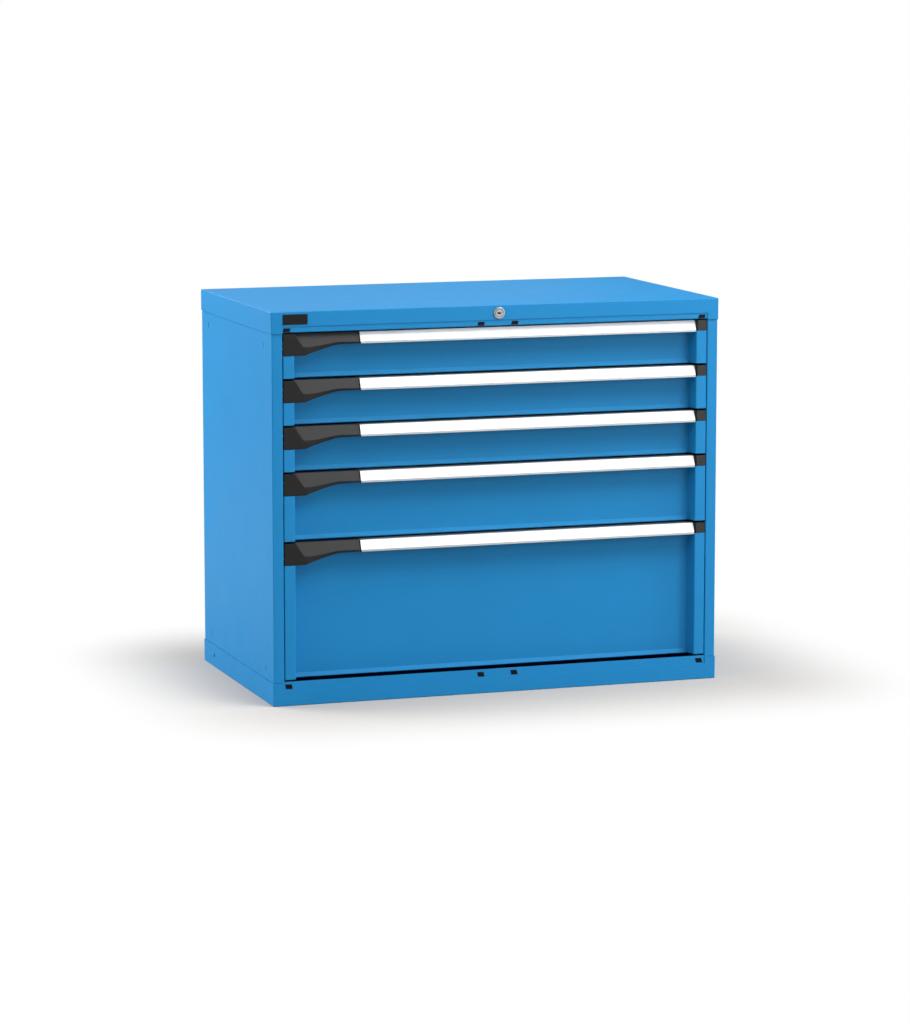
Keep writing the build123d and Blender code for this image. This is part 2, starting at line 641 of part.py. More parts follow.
def make_left_cap(top):
    """Black left end cap, hollow behind its face, with the bracket and end plate that carry the lever."""
    seam = cap_boundary(-FIT_GAP)
    outline = [(left(STRIP_OUTER), 0)] + seam + [(left(STRIP_OUTER), -LEFT_CAP_HEIGHT)]
    cap = along_y(outline, FRONT, FRONT + CAP_DEPTH)
    inner = [
        (left(STRIP_OUTER + CAP_WALL), -CAP_WALL),
        (seam[0][0] - CAP_WALL, -CAP_WALL),
        (seam[1][0] - CAP_WALL, -LEFT_CAP_BEND[1]),
        (seam[2][0] - CAP_WALL, -LEFT_CAP_HEIGHT + CAP_WALL),
        (left(STRIP_OUTER + CAP_WALL), -LEFT_CAP_HEIGHT + CAP_WALL),
    ]
    cap -= along_y(inner, FRONT + CAP_WALL, FRONT + CAP_DEPTH + OVERCUT)
    window = block(
        (left(0), left(CATCH_ARM_ROOT)),
        (FRONT + CATCH_ARM_BACK[0] - CATCH_TRAVEL, FRONT + CAP_DEPTH + OVERCUT),
        (-CATCH_ARM_DROP[1] - CATCH_CLEARANCE, -CATCH_ARM_DROP[0] + CATCH_TRAVEL / 2),
    )
    cap -= window
    ear_right = HANDLE_LEFT - FIT_GAP
    backbone = block(
        (left(BOX_OUTER), left(ear_right)),
        (FRONT + CAP_DEPTH, PANEL_FACE),
        (-GRIP_BOSS, -PANEL_TOP_DROP),
    )
    bridge = block(
        (left(BOX_OUTER - CAP_WALL), left(LEFT_CAP_TOP - CAP_WALL)),
        (FRONT + CAP_WALL, PANEL_FACE),
        (-GRIP_BOSS, -PANEL_TOP_DROP),
    )
    ear_section = [
        lean_point(PANEL_TOP_DROP, EAR_SETBACK),
        lean_point(HANDLE_FACE, EAR_SETBACK),
        lean_point(HANDLE_FACE, EAR_SETBACK + LABEL_SEAT + HANDLE_WALL),
        (FRONT + PIVOT_BACK - PIVOT_RADIUS - PIVOT_WALL, -GRIP_BOSS),
        (PANEL_FACE, -GRIP_BOSS),
        (PANEL_FACE, -PANEL_TOP_DROP),
    ]
    ear = along_x(ear_section, left(HANDLE_LEFT - GRIP_END_GAP + FIT_GAP), left(ear_right))
    pin_hole = rod_x(
        PIVOT_RADIUS + PIVOT_CLEARANCE,
        left(STRIP_OUTER + CAP_WALL),
        left(HANDLE_LEFT),
        FRONT + PIVOT_BACK,
        -PIVOT_DROP,
    )
    return Pos(0, 0, top) * (cap + backbone + bridge + ear - pin_hole)


def grip_section(inset, face_depth, depth):
    """The lever's section at one place along X: leaning face, band below it, and the boss at its top."""
    slope = HANDLE_LEAN / HANDLE_HEIGHT
    top_y = FRONT + HANDLE_FRONT + HANDLE_LEAN
    edge_y = top_y - slope * face_depth
    points = [
        (top_y + GRIP_EDGE_CUT, 0),
        (top_y - slope * GRIP_EDGE_CUT, -GRIP_EDGE_CUT),
        (edge_y, -face_depth),
        (edge_y + GRIP_BAND_LEAN, -depth),
        (edge_y + GRIP_BAND_LEAN + GRIP_WALL, -depth),
        (top_y - slope * GRIP_BOSS + GRIP_WALL, -GRIP_BOSS),
        (FRONT + GRIP_BACK, -GRIP_BOSS),
        (FRONT + GRIP_BACK, 0),
    ]
    return Plane.YZ.offset(left(inset)) * make_face(Polyline(*points, close=True))


def make_grip_lever(top):
    """Grip lever beside the left cap, with its pivot pins and the catch arm behind the cap."""
    stations = [
        (LEFT_CAP_TOP + offset, face_depth, LEFT_CAP_HEIGHT - rise)
        for offset, face_depth, rise in zip(GRIP_OFFSETS, GRIP_FACE_DEPTHS, GRIP_RISES)
    ]
    stations.append((HANDLE_LEFT - GRIP_END_GAP, GRIP_END_FACE_DEPTH, GRIP_END_DEPTH))
    lever = loft([grip_section(*station) for station in stations], ruled=True)
    for shift, front in ((0, FRONT - CAP_DEPTH), (GRIP_END_RELIEF, FRONT + PIVOT_BACK - 2 * PIVOT_RADIUS)):
        seam = cap_boundary(shift)
        beyond = [(left(0), OVERCUT), (seam[0][0], OVERCUT)] + seam
        beyond += [(seam[2][0], -2 * LEFT_CAP_HEIGHT), (left(0), -2 * LEFT_CAP_HEIGHT)]
        lever -= along_y(beyond, front, FRONT + 2 * CAP_DEPTH)
    pivot = (FRONT + PIVOT_BACK, -PIVOT_DROP)
    lever += rod_x(PIVOT_RADIUS, left(LEFT_CAP_TOP - PIVOT_LENGTH / 2), left(HANDLE_LEFT - FIT_GAP), *pivot)
    arm = block(
        (left(STILE_EDGE + STRIP_SIDE_GAP / 2), left(CATCH_ARM_ROOT)),
        (FRONT + CATCH_ARM_BACK[0], FRONT + CATCH_ARM_BACK[1]),
        (-CATCH_ARM_DROP[1], -CATCH_ARM_DROP[0]),
    )
    root = block(
        (left(CATCH_ARM_ROOT - GRIP_WALL), left(CATCH_ARM_ROOT)),
        (FRONT + GRIP_WALL, FRONT + CATCH_ARM_BACK[1]),
        (-CATCH_ARM_DROP[1], -CATCH_ARM_DROP[0]),
    )
    return Pos(0, 0, top) * (lever + arm + root)


def make_right_cap(top):
    """Black right end cap, hollow behind, with a set-back shoulder at the handle and a foot on the panel."""
    outer_x = (-left(STRIP_OUTER + RIGHT_CAP_WIDTH), -left(STRIP_OUTER))
    cap = block(outer_x, (FRONT, FRONT + CAP_DEPTH), (-RIGHT_CAP_HEIGHT, 0))
    cap -= block(
        (outer_x[0] + CAP_WALL, outer_x[1] - CAP_WALL),
        (FRONT + CAP_WALL, FRONT + CAP_DEPTH + OVERCUT),
        (-RIGHT_CAP_HEIGHT + CAP_WALL, -CAP_WALL),
    )
    shoulder = block(
        (-left(HANDLE_RIGHT - FIT_GAP), outer_x[0]),
        (FRONT + SHOULDER_SETBACK, FRONT + CAP_DEPTH),
        (-RIGHT_CAP_HEIGHT, 0),
    )
    foot = block(
        (-left(HANDLE_RIGHT - FIT_GAP), -left(BOX_OUTER - CAP_SEAT)),
        (FRONT + CAP_DEPTH - CAP_WALL, PANEL_FACE),
        (-RIGHT_CAP_HEIGHT + CAP_WALL, -CAP_WALL),
    )
    return Pos(0, 0, top) * (cap + shoulder + foot)


def make_lock_body():
    """Lock housing through the cover and the top rail, with its round ring outside."""
    ring = rod_y(LOCK_RING_RADIUS, COVER_FRONT - LOCK_RING_PROUD, COVER_FRONT, 0, LOCK_Z)
    ring = fillet(ring.edges().group_by(Axis.Y)[0], LOCK_RING_PROUD / 2)
    body = rod_y(LOCK_BODY_RADIUS, COVER_FRONT, LOCK_BACK, 0, LOCK_Z)
    bore_radius = LOCK_PLUG_RADIUS + LOCK_CLEARANCE
    bore = rod_y(bore_radius, COVER_FRONT - LOCK_RING_PROUD - OVERCUT, LOCK_BACK + OVERCUT, 0, LOCK_Z)
    return ring + body - bore


def make_lock_plug():
    """Turning plug with a slot for the key, level at rest."""
    plug = rod_y(LOCK_PLUG_RADIUS, COVER_FRONT - LOCK_RING_PROUD, LOCK_BACK + FIT_GAP, 0, LOCK_Z)
    keyway = block(
        (-KEYWAY[0] / 2, KEYWAY[0] / 2),
        (COVER_FRONT - LOCK_RING_PROUD - OVERCUT, COVER_FRONT - LOCK_RING_PROUD + KEYWAY[2]),
        (LOCK_Z - KEYWAY[1] / 2, LOCK_Z + KEYWAY[1] / 2),
    )
    return plug - keyway


def make_lock_cam():
    """Cam plate on the back of the plug, its pin hanging below the axis at rest."""
    low = LOCK_BACK + FIT_GAP
    hub = rod_y(CAM_ARM_WIDTH / 2, low, CAM_BACK, 0, LOCK_Z)
    arm = block((-CAM_ARM_WIDTH / 2, CAM_ARM_WIDTH / 2), (low, CAM_BACK), (LOCK_Z - CAM_THROW, LOCK_Z))
    tip = rod_y(CAM_ARM_WIDTH / 2, low, CAM_BACK, 0, LOCK_Z - CAM_THROW)
    pin = rod_y(CAM_PIN_RADIUS, CAM_BACK, ROD_BACK + FIT_GAP, 0, LOCK_Z - CAM_THROW)
    return hub + arm + tip + pin


def make_cross_rod():
    """Flat rod from the lock to the locking bar: an upright slot at the cam, a sloping slot at the bar."""
    pin_x = left(BAR_PIN_INSET)
    pin_z = ROD_Z + CAM_THROW / 2
    margin = CAM_PIN_RADIUS + CAM_SLACK
    faces = (ROD_FRONT, ROD_BACK)
    edges = (ROD_Z - ROD_HEIGHT / 2, ROD_Z + ROD_HEIGHT / 2)
    rod = block((pin_x + 2 * CAM_THROW, -ROD_END / 2), faces, edges)
    cam_end = block(
        (-ROD_END / 2, ROD_END / 2),
        faces,
        (LOCK_Z - CAM_THROW - ROD_HEIGHT / 2, LOCK_Z + ROD_HEIGHT / 2),
    )
    cam_end -= block(
        (-margin, margin),
        (ROD_FRONT - OVERCUT, ROD_BACK + OVERCUT),
        (LOCK_Z - CAM_THROW - CAM_PIN_RADIUS - FIT_GAP, LOCK_Z + CAM_PIN_RADIUS + FIT_GAP),
    )
    edge = CAM_PIN_RADIUS + PIN_MARGIN
    bar_end = block(
        (pin_x - edge, pin_x + 2 * CAM_THROW),
        faces,
        (pin_z - CAM_THROW - edge, pin_z + edge),
    )
    slot_radius = CAM_PIN_RADIUS + FIT_GAP
    centre = Pos(pin_x + CAM_THROW / 2, pin_z - CAM_THROW / 2)
    slot = SlotCenterToCenter(CAM_THROW * 2 ** 0.5, 2 * slot_radius, rotation=-45)
    bar_end -= extrude(Plane.XZ.offset(-ROD_BACK - OVERCUT) * centre * slot, ROD_THICKNESS + 2 * OVERCUT)
    return rod + cam_end + bar_end


def make_locking_bar(bottoms):
    """Upright bar behind the left stile, with a pawl for each drawer and the pin in the rod's slot."""
    pin_z = ROD_Z + CAM_THROW / 2
    y = (BAR_BACK - BAR_THICKNESS, BAR_BACK)
    lowest = min(bottoms) + KEEPER_RISE
    highest = pin_z + CAM_PIN_RADIUS + PIN_MARGIN
    bar = block((left(BAR_INSET), left(BAR_INSET + BAR_WIDTH)), y, (lowest, highest))
    for bottom in bottoms:
        low = bottom + KEEPER_RISE + (KEEPER_HEIGHT - PAWL_HEIGHT) / 2 + CAM_THROW
        bar += block((left(BAR_INSET), left(PAWL_REACH)), y, (low, low + PAWL_HEIGHT))
    return bar + rod_y(CAM_PIN_RADIUS, BAR_BACK, ROD_BACK, left(BAR_PIN_INSET), pin_z)


def drawer_heights():
    """Bottom and top of each drawer front, top drawer first."""
    heights = []
    top = OPENING_TOP - TOP_GAP
    for pitch in FRONT_PITCHES:
        heights.append((top - pitch + FRONT_GAP, top))
        top -= pitch
    return heights


def save(name, pieces):
    """Writes one node, a single solid or a group of them."""
    if isinstance(pieces, list):
        solids = [solid for piece in pieces for solid in piece.solids()]
        export_step(Compound(children=solids), f"parts/{name}.step")
    else:
        export_step(pieces, f"parts/{name}.step")


os.makedirs("parts", exist_ok=True)
heights = drawer_heights()
bottoms = [bottom for bottom, top in heights]
side_panel = make_side_panel()

save("top_cover", make_top_cover())
save("base_tray", make_base_tray())
save("left_side_panel", side_panel)
save("right_side_panel", mirrored(side_panel))
save("back_panel", make_back_panel())
save("front_rails", make_front_rails())
save("hole_plugs", make_hole_plugs())
save("name_plate", make_name_plate())
save("uprights", make_uprights())
save("cabinet_runners", make_cabinet_runners([bottom + RUNNER_RISE for bottom in bottoms]))
save("lock_body", make_lock_body())
save("lock_plug", make_lock_plug())
save("lock_cam", make_lock_cam())
save("lock_cross_rod", make_cross_rod())
save("locking_bar", make_locking_bar(bottoms))

for number, (bottom, top) in enumerate(heights, start=1):
    drawer = f"drawer_{number}"
    save(f"{drawer}_box", make_drawer_box(bottom, top))
    save(f"{drawer}_front", make_drawer_front(bottom, top))
    save(f"{drawer}_handle", make_handle(top))
    save(f"{drawer}_label", make_label(top))
    save(f"{drawer}_left_cap", make_left_cap(top))
    save(f"{drawer}_grip_lever", make_grip_lever(top))
    save(f"{drawer}_right_cap", make_right_cap(top))
    save(f"{drawer}_runners", make_drawer_runners(bottom + RUNNER_RISE))
    save(f"{drawer}_middle_runners", make_middle_runners(bottom + RUNNER_RISE))
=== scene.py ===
"""Looks of a steel drawer cabinet around its CAD frame.

Folded and powder-coated sheet steel, five drawers with aluminium handles and moulded grips, and a lock.
The fields of each sub-assembly are millimetres, and a finished mesh is turned into metres once.
"""

import logging
import math
from dataclasses import dataclass
from enum import Enum
from functools import partial
from typing import Iterable, Sequence

import bmesh
import bpy
from bmesh.types import BMEdge, BMFace, BMVert
from mathutils import Matrix, Vector


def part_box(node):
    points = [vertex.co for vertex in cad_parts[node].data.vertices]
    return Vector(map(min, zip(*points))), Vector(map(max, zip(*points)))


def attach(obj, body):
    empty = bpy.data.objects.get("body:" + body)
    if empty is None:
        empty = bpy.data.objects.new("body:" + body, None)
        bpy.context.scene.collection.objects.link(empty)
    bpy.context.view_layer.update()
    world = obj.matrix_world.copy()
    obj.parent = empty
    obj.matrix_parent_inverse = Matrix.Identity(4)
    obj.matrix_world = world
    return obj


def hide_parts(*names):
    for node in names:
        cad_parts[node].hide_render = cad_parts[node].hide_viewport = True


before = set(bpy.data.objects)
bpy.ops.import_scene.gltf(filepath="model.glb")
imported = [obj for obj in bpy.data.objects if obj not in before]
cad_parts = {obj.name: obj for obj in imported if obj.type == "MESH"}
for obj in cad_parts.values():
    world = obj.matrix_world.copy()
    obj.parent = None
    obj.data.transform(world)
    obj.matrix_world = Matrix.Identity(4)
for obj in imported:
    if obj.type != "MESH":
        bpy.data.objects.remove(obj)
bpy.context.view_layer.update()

LOG = logging.getLogger("drawer_cabinet")
MM = 0.001
SHARP_ANGLE = math.radians(30)
FACING = 0.95  # The least cosine at which a face or an edge still counts as facing a way
BEYOND = 1.0  # How far a cutting shape reaches past the surface that it cuts, in millimetres
IMAGE_HEIGHT = 1024
NOISE_SPAN = (0.3, 0.7)  # The values that a noise texture mostly takes
WAVE_PITCH = math.tau / 20  # How far apart the rings of a wave texture of scale 1 are

Point = tuple[float, float]
Place = tuple[float, float, float]
Inputs = dict[str | int, object]
Tree = bpy.types.NodeTree
Socket = bpy.types.NodeSocket


class Axis(Enum):
    """The axis that a section is drawn out along; the section's own axes are the other two, in order."""

    X = 0
    Y = 1
    Z = 2

    @property
    def vector(self) -> Vector:
        """The unit vector along the axis."""
        return Vector([float(index == self.value) for index in range(3)])

    def place(self, across: float, up: float, along: float) -> Vector:
        """The point with these two section coordinates, so far along the axis."""
        point = [across, up]
        point.insert(self.value, along)
        return Vector(point)


class Side(Enum):
    """Which side of the cabinet a piece is on, as seen from the front."""

    LEFT = "left"
    RIGHT = "right"


def linear(colour: str) -> tuple[float, float, float, float]:
    """Turns an sRGB hex colour into linear red, green, blue and alpha."""
    channels = [int(colour[start : start + 2], 16) / 255 for start in (1, 3, 5)]
    red, green, blue = (c / 12.92 if c <= 0.04045 else ((c + 0.055) / 1.055) ** 2.4 for c in channels)
    return red, green, blue, 1.0


def add(tree: Tree, kind: str, inputs: Inputs | None = None, **settings: object) -> bpy.types.Node:
    """Adds a node to a tree.

    Args:
        tree: The node tree.
        kind: The node's type.
        inputs: Values, or sockets to link from, by the input's name or number.
        settings: The node's own properties.

    Returns:
        The new node.
    """
    node = tree.nodes.new(kind)
    for name, value in settings.items():
        setattr(node, name, value)
    for key, value in (inputs or {}).items():
        if isinstance(value, Socket):
            tree.links.new(value, node.inputs[key])
        else:
            node.inputs[key].default_value = value
    return node


def limits(source: Point, target: Point) -> Inputs:
    """Gives the ends of two ranges as the inputs that map one to the other.

    Args:
        source: The range that the values come from.
        target: The range that they are mapped to.

    Returns:
        The four inputs.
    """
    return dict(zip(("From Min", "From Max", "To Min", "To Max"), (*source, *target)))


def smooth_through(points: Sequence[Point], x: float) -> float:
    """Reads a smooth curve that passes through the given points.

    Args:
        points: The curve's points, in order of their first number.
        x: Where to read it, within the first numbers' range.

    Returns:
        The curve's second number there.
    """
    last = len(points) - 1
    index = max(i for i in range(last) if points[i][0] <= x)
    slopes = []
    for i in (index, index + 1):
        before, after = points[max(i - 1, 0)], points[min(i + 1, last)]
        slopes.append((after[1] - before[1]) / (after[0] - before[0]))
    (x0, y0), (x1, y1) = points[index], points[index + 1]
    run = x1 - x0
    t = (x - x0) / run
    ends = (1 + 2 * t) * (1 - t) ** 2 * y0 + t * t * (3 - 2 * t) * y1
    return ends + run * (t * (1 - t) ** 2 * slopes[0] - t * t * (1 - t) * slopes[1])


def node_box(node: str) -> tuple[Vector, Vector]:
    """The lowest and highest corners of a CAD node, in millimetres."""
    low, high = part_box(node)
    return low / MM, high / MM


@dataclass(frozen=True)
class Finish:
    """A surface finish, made into a material the first time that a piece wears it."""

    name: str
    slot: str
    colour: str = "#000000"
    roughness: float = 0.5
    unevenness: Point = (0.05, 0.05)
    relief_mm: float = 0.02
    relief_strength: float = 0.5

    def material(self) -> bpy.types.Material:
        """The finish's material."""
        made = bpy.data.materials.get(self.name)
        if made is None:
            made = bpy.data.materials.new(self.name)
            made.use_nodes = True
            tree = made.node_tree
            tree.nodes.clear()
            place = add(tree, "ShaderNodeTexCoord").outputs["Object"]
            shader = add(tree, "ShaderNodeBsdfPrincipled", self.looks(tree, place))
            add(tree, "ShaderNodeOutputMaterial", {"Surface": shader.outputs["BSDF"]})
        return made

    def looks(self, tree: Tree, place: Socket) -> Inputs:
        """Adds the finish's own patterns.

        Args:
            tree: The material's node tree.
            place: The object coordinates, in metres.

        Returns:
            What goes into the shader.
        """
        raise NotImplementedError

    def surface(self, tree: Tree, dull: Socket, relief: Socket, span: Point = NOISE_SPAN) -> Inputs:
        """Lets one pattern vary the roughness and another one raise the surface.

        Args:
            tree: The material's node tree.
            dull: The pattern of the roughness.
            relief: The pattern of the surface.
            span: The values of the roughness's pattern that count.

        Returns:
            The roughness and the normal, as they go into the shader.
        """
        below, above = self.unevenness
        spread = limits(span, (self.roughness - below, self.roughness + above))
        rough = add(tree, "ShaderNodeMapRange", {"Value": dull, **spread})
        heights = {"Height": relief, "Strength": self.relief_strength, "Distance": self.relief_mm * MM}
        bump = add(tree, "ShaderNodeBump", heights)
        return {"Roughness": rough.outputs["Result"], "Normal": bump.outputs["Normal"]}


@dataclass(frozen=True)
class PowderCoat(Finish):
    """Satin powder coat baked on steel: even colour, soft gloss and a faint orange peel."""

    roughness: float = 0.42
    unevenness: Point = (0.03, 0.03)
    gloss: float = 0.3
    peel_mm: float = 3.0
    cloud_mm: float = 90.0
    cloud_shades: Point = (0.985, 1.015)

    def looks(self, tree: Tree, place: Socket) -> Inputs:
        """Adds the peel, and clouds that shift the gloss and the colour a little."""
        # Real orange peel is about 1.5 mm across; it is drawn at twice that, so that the render shows it.
        peel, cloud = (
            add(tree, "ShaderNodeTexNoise", {"Vector": place, "Scale": 1 / (size * MM), "Detail": detail})
            for size, detail in ((self.peel_mm, 2.0), (self.cloud_mm, 3.0))
        )
        shades = {"Value": cloud.outputs["Fac"], **limits(NOISE_SPAN, self.cloud_shades)}
        shade = add(tree, "ShaderNodeMapRange", shades).outputs["Result"]
        tint = add(tree, "ShaderNodeHueSaturation", {"Color": linear(self.colour), "Value": shade})
        texture = self.surface(tree, cloud.outputs["Fac"], peel.outputs["Fac"])
        return {"Base Color": tint.outputs["Color"], "Specular IOR Level": self.gloss, **texture}


@dataclass(frozen=True)
class MouldedPlastic(Finish):
    """Glass-filled nylon from a spark-eroded mould: dark, dull, with an even fine grain."""

    unevenness: Point = (0.06, 0.06)
    relief_mm: float = 0.03
    relief_strength: float = 0.6
    gloss: float = 0.3
    grain_mm: float = 1.1

    def looks(self, tree: Tree, place: Socket) -> Inputs:
        """Adds the mould's grain and a slight unevenness of its dullness."""
        # Spark-eroded grain is about 0.3 mm across; it is drawn coarser, so that a close view shows it.
        pattern = {"Vector": place, "Scale": 1 / (self.grain_mm * MM), "Detail": 3.0, "Roughness": 0.6}
        grain = add(tree, "ShaderNodeTexNoise", pattern).outputs["Fac"]
        base = {"Base Color": linear(self.colour), "Specular IOR Level": self.gloss}
        return {**base, **self.surface(tree, grain, grain)}


@dataclass(frozen=True)
class AnodisedAluminium(Finish):
    """Extruded and naturally anodised aluminium: pale metal with fine lines along the profile."""

    colour: str = "#8b8f91"
    roughness: float = 0.48
    unevenness: Point = (0.07, 0.07)
    relief_mm: float = 0.006
    line_mm: float = 0.6
    line_length_mm: float = 240.0

    def looks(self, tree: Tree, place: Socket) -> Inputs:
        """Adds the lines that the die draws along X."""
        across = 1 / (self.line_mm * MM)
        scale = (1 / (self.line_length_mm * MM), across, across)
        drawn = add(tree, "ShaderNodeMapping", {"Vector": place, "Scale": scale}).outputs["Vector"]
        lines = add(tree, "ShaderNodeTexNoise", {"Vector": drawn, "Scale": 1.0, "Detail": 3.0})
        texture = self.surface(tree, lines.outputs["Fac"], lines.outputs["Fac"])
        return {"Base Color": linear(self.colour), "Metallic": 1.0, **texture}


@dataclass(frozen=True)
class LabelStrip(Finish):
    """Matt white label card behind clear film: bright, with a hint of fibre."""

    colour: str = "#fbfbfb"
    gloss: float = 0.3
    fibre_mm: float = 2.5
    fibre_shade: float = 0.012

    def looks(self, tree: Tree, place: Socket) -> Inputs:
        """Adds the card's fibres as a very light shade."""
        pattern = {"Vector": place, "Scale": 1 / (self.fibre_mm * MM), "Detail": 5.0, "Roughness": 0.7}
        fibre = add(tree, "ShaderNodeTexNoise", pattern).outputs["Fac"]
        below, above = self.unevenness
        shade, rough = (
            add(tree, "ShaderNodeMapRange", {"Value": fibre, **limits(NOISE_SPAN, span)}).outputs["Result"]
            for span in ((1.0 - self.fibre_shade, 1.0), (self.roughness - below, self.roughness + above))
        )
        tint = add(tree, "ShaderNodeHueSaturation", {"Color": linear(self.colour), "Value": shade})
        return {"Base Color": tint.outputs["Color"], "Roughness": rough, "Specular IOR Level": self.gloss}


@dataclass(frozen=True)
class ZincPlate(Finish):
    """Bright zinc on rolled steel: silvery, faintly clouded, with the rolling lines under it."""

    colour: str = "#b4b8bb"
    dull_colour: str = "#9da3a8"
    roughness: float = 0.34
    unevenness: Point = (-0.08, -0.08)
    relief_mm: float = 0.01
    cloud_mm: float = 22.0
    line_mm: float = 1.2
    line_length_mm: float = 60.0

    def looks(self, tree: Tree, place: Socket) -> Inputs:
        """Adds the clouds of the plating, rougher where they are dull, and rolling lines along Y."""
        clouds = {"Vector": place, "Scale": 1 / (self.cloud_mm * MM), "Detail": 4.0, "Roughness": 0.6}
        cloud = add(tree, "ShaderNodeTexNoise", clouds).outputs["Fac"]
        across = 1 / (self.line_mm * MM)
        scale = (across, 1 / (self.line_length_mm * MM), across)
        rolled = add(tree, "ShaderNodeMapping", {"Vector": place, "Scale": scale}).outputs["Vector"]
        lines = add(tree, "ShaderNodeTexNoise", {"Vector": rolled, "Scale": 1.0, "Detail": 2.0})
        colours = {0: cloud, 6: linear(self.dull_colour), 7: linear(self.colour)}
        tint = add(tree, "ShaderNodeMix", colours, data_type="RGBA")
        texture = self.surface(tree, cloud, lines.outputs["Fac"])
        return {"Base Color": tint.outputs[2], "Metallic": 1.0, **texture}


@dataclass(frozen=True)
class NickelPlate(Finish):
    """Nickel on a turned lock face: bright metal with fine rings about the lock's axis."""

    colour: str = "#929496"
    roughness: float = 0.3
    unevenness: Point = (0.05, 0.08)
    centre_mm: Place = (0.0, 0.0, 0.0)
    ring_mm: float = 0.7

    def looks(self, tree: Tree, place: Socket) -> Inputs:
        """Adds the turning rings, centred on the lock by the mapping."""
        shift = {"Vector": place, "Location": [-c * MM for c in self.centre_mm]}
        centred = add(tree, "ShaderNodeMapping", shift).outputs["Vector"]
        scale = WAVE_PITCH / (self.ring_mm * MM)
        pattern = {"Vector": centred, "Scale": scale, "Distortion": 0.4, "Detail": 1.0}
        wave = add(tree, "ShaderNodeTexWave", pattern, wave_type="RINGS", rings_direction="Y")
        texture = self.surface(tree, wave.outputs["Fac"], wave.outputs["Fac"], (0.0, 1.0))
        return {"Base Color": linear(self.colour), "Metallic": 1.0, **texture}


@dataclass(frozen=True)
class StudioPaper(Finish):
    """Matt white paper that, for the camera, fades into a painted white glow a little way from the cabinet.
    """

    colour: str = "#b4b1ad"
    bounce_colour: str = "#9c9c9c"
    roughness: float = 0.9
    relief_strength: float = 0.1
    footprint_mm: Place = (511.5, 286.0, 1.0)
    halo_centre_mm: Place = (55.0, 0.0, 0.0)
    halo: Place = (1.0, 0.84, 0.0)
    painted_glow_from_mm: float = 412.0
    tooth_mm: float = 4.0

    def looks(self, tree: Tree, place: Socket) -> Inputs:
        """Adds the paper's tooth, the painted white glow around the cabinet, and a duller bounce than the
        eye sees.
        """
        pattern = {"Vector": place, "Scale": 1 / (self.tooth_mm * MM), "Detail": 2.0}
        tooth = add(tree, "ShaderNodeTexNoise", pattern).outputs["Fac"]
        heights = {"Height": tooth, "Strength": self.relief_strength, "Distance": self.relief_mm * MM}
        bump = add(tree, "ShaderNodeBump", heights)
        # Painted glow: for the camera the floor emits white, fading in with distance from the cabinet's
        # footprint, so that its shade shows only in a halo near the cabinet; the halo's middle is shifted to
        # the right, and it reaches a little further front and back than to the sides.
        away, zero = place, (0.0, 0.0, 0.0)
        for operation, values in (
            ("SUBTRACT", [size * MM for size in self.halo_centre_mm]),
            ("ABSOLUTE", zero),
            ("SUBTRACT", [size * MM for size in self.footprint_mm]),
            ("MAXIMUM", zero),
            ("MULTIPLY", self.halo),
            ("LENGTH", zero),
        ):
            step = add(tree, "ShaderNodeVectorMath", {0: away, 1: values}, operation=operation)
            away = step.outputs["Value" if operation == "LENGTH" else "Vector"]
        fade = {"Value": away, **limits((0.0, self.painted_glow_from_mm * MM), (0.0, 1.0))}
        painted_glow_fade = add(tree, "ShaderNodeMapRange", fade, interpolation_type="SMOOTHSTEP").outputs["Result"]
        seen = add(tree, "ShaderNodeLightPath").outputs["Is Camera Ray"]
        white = add(tree, "ShaderNodeMath", {0: painted_glow_fade, 1: seen}, operation="MULTIPLY").outputs["Value"]
        # Painted light: the camera sees a lighter, slightly warm copy of the grey that bounces light, which
        # lifts the floor's shade and takes the cabinet's blue out of it.
        paper = linear(self.bounce_colour)
        for share, colour in ((seen, linear(self.colour)), (white, linear("#000000"))):
            paper = add(tree, "ShaderNodeMix", {0: share, 6: paper, 7: colour}, data_type="RGBA").outputs[2]
        return {
            "Base Color": paper,
            "Emission Color": linear("#ffffff"),
            "Emission Strength": white,
            "Normal": bump.outputs["Normal"],
            "Roughness": self.roughness,
            "Specular IOR Level": 0.0,
        }


BLUE_COAT = PowderCoat("satin_blue_powder_coat", "blue_paint", colour="#2083be", gloss=0.12)
GREY_COAT = PowderCoat("satin_grey_powder_coat", "grey_paint", colour="#c3c7c8")
# Painted shade: the left caps wear this darker copy of the caps' nylon, for the shade on them; the right
# caps wear the lighter grip nylon.
SHADED_CAP_NYLON = MouldedPlastic("black_cap_nylon_painted_shade", "black_plastic", colour="#131313")
GRIP_NYLON = MouldedPlastic("dark_grip_nylon", "grip_plastic", colour="#2b2b2b")
PLUG_PLASTIC = MouldedPlastic(
    "black_plug_polyethylene", "black_plastic", colour="#0a0a0a", roughness=0.6, gloss=0.15
)
PLATE_PLASTIC = MouldedPlastic("black_plate_plastic", "black_plastic", colour="#131313", gloss=0.2)
HANDLE_ALUMINIUM = AnodisedAluminium("natural_anodised_aluminium", "aluminium")
LABEL_CARD = LabelStrip("matt_white_label_card", "white_label")
RUNNER_ZINC = ZincPlate("bright_zinc_plate", "zinc_steel")
PAPER = StudioPaper("white_studio_paper_painted_glow", "")


def dress_node(node: str, finish: Finish) -> None:
    """Gives a CAD node that stays in view its finish."""
    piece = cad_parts[node]
    for slot in piece.material_slots:
        slot.material = finish.material()
    LOG.info("%s: CAD node, %s", node, finish.name)


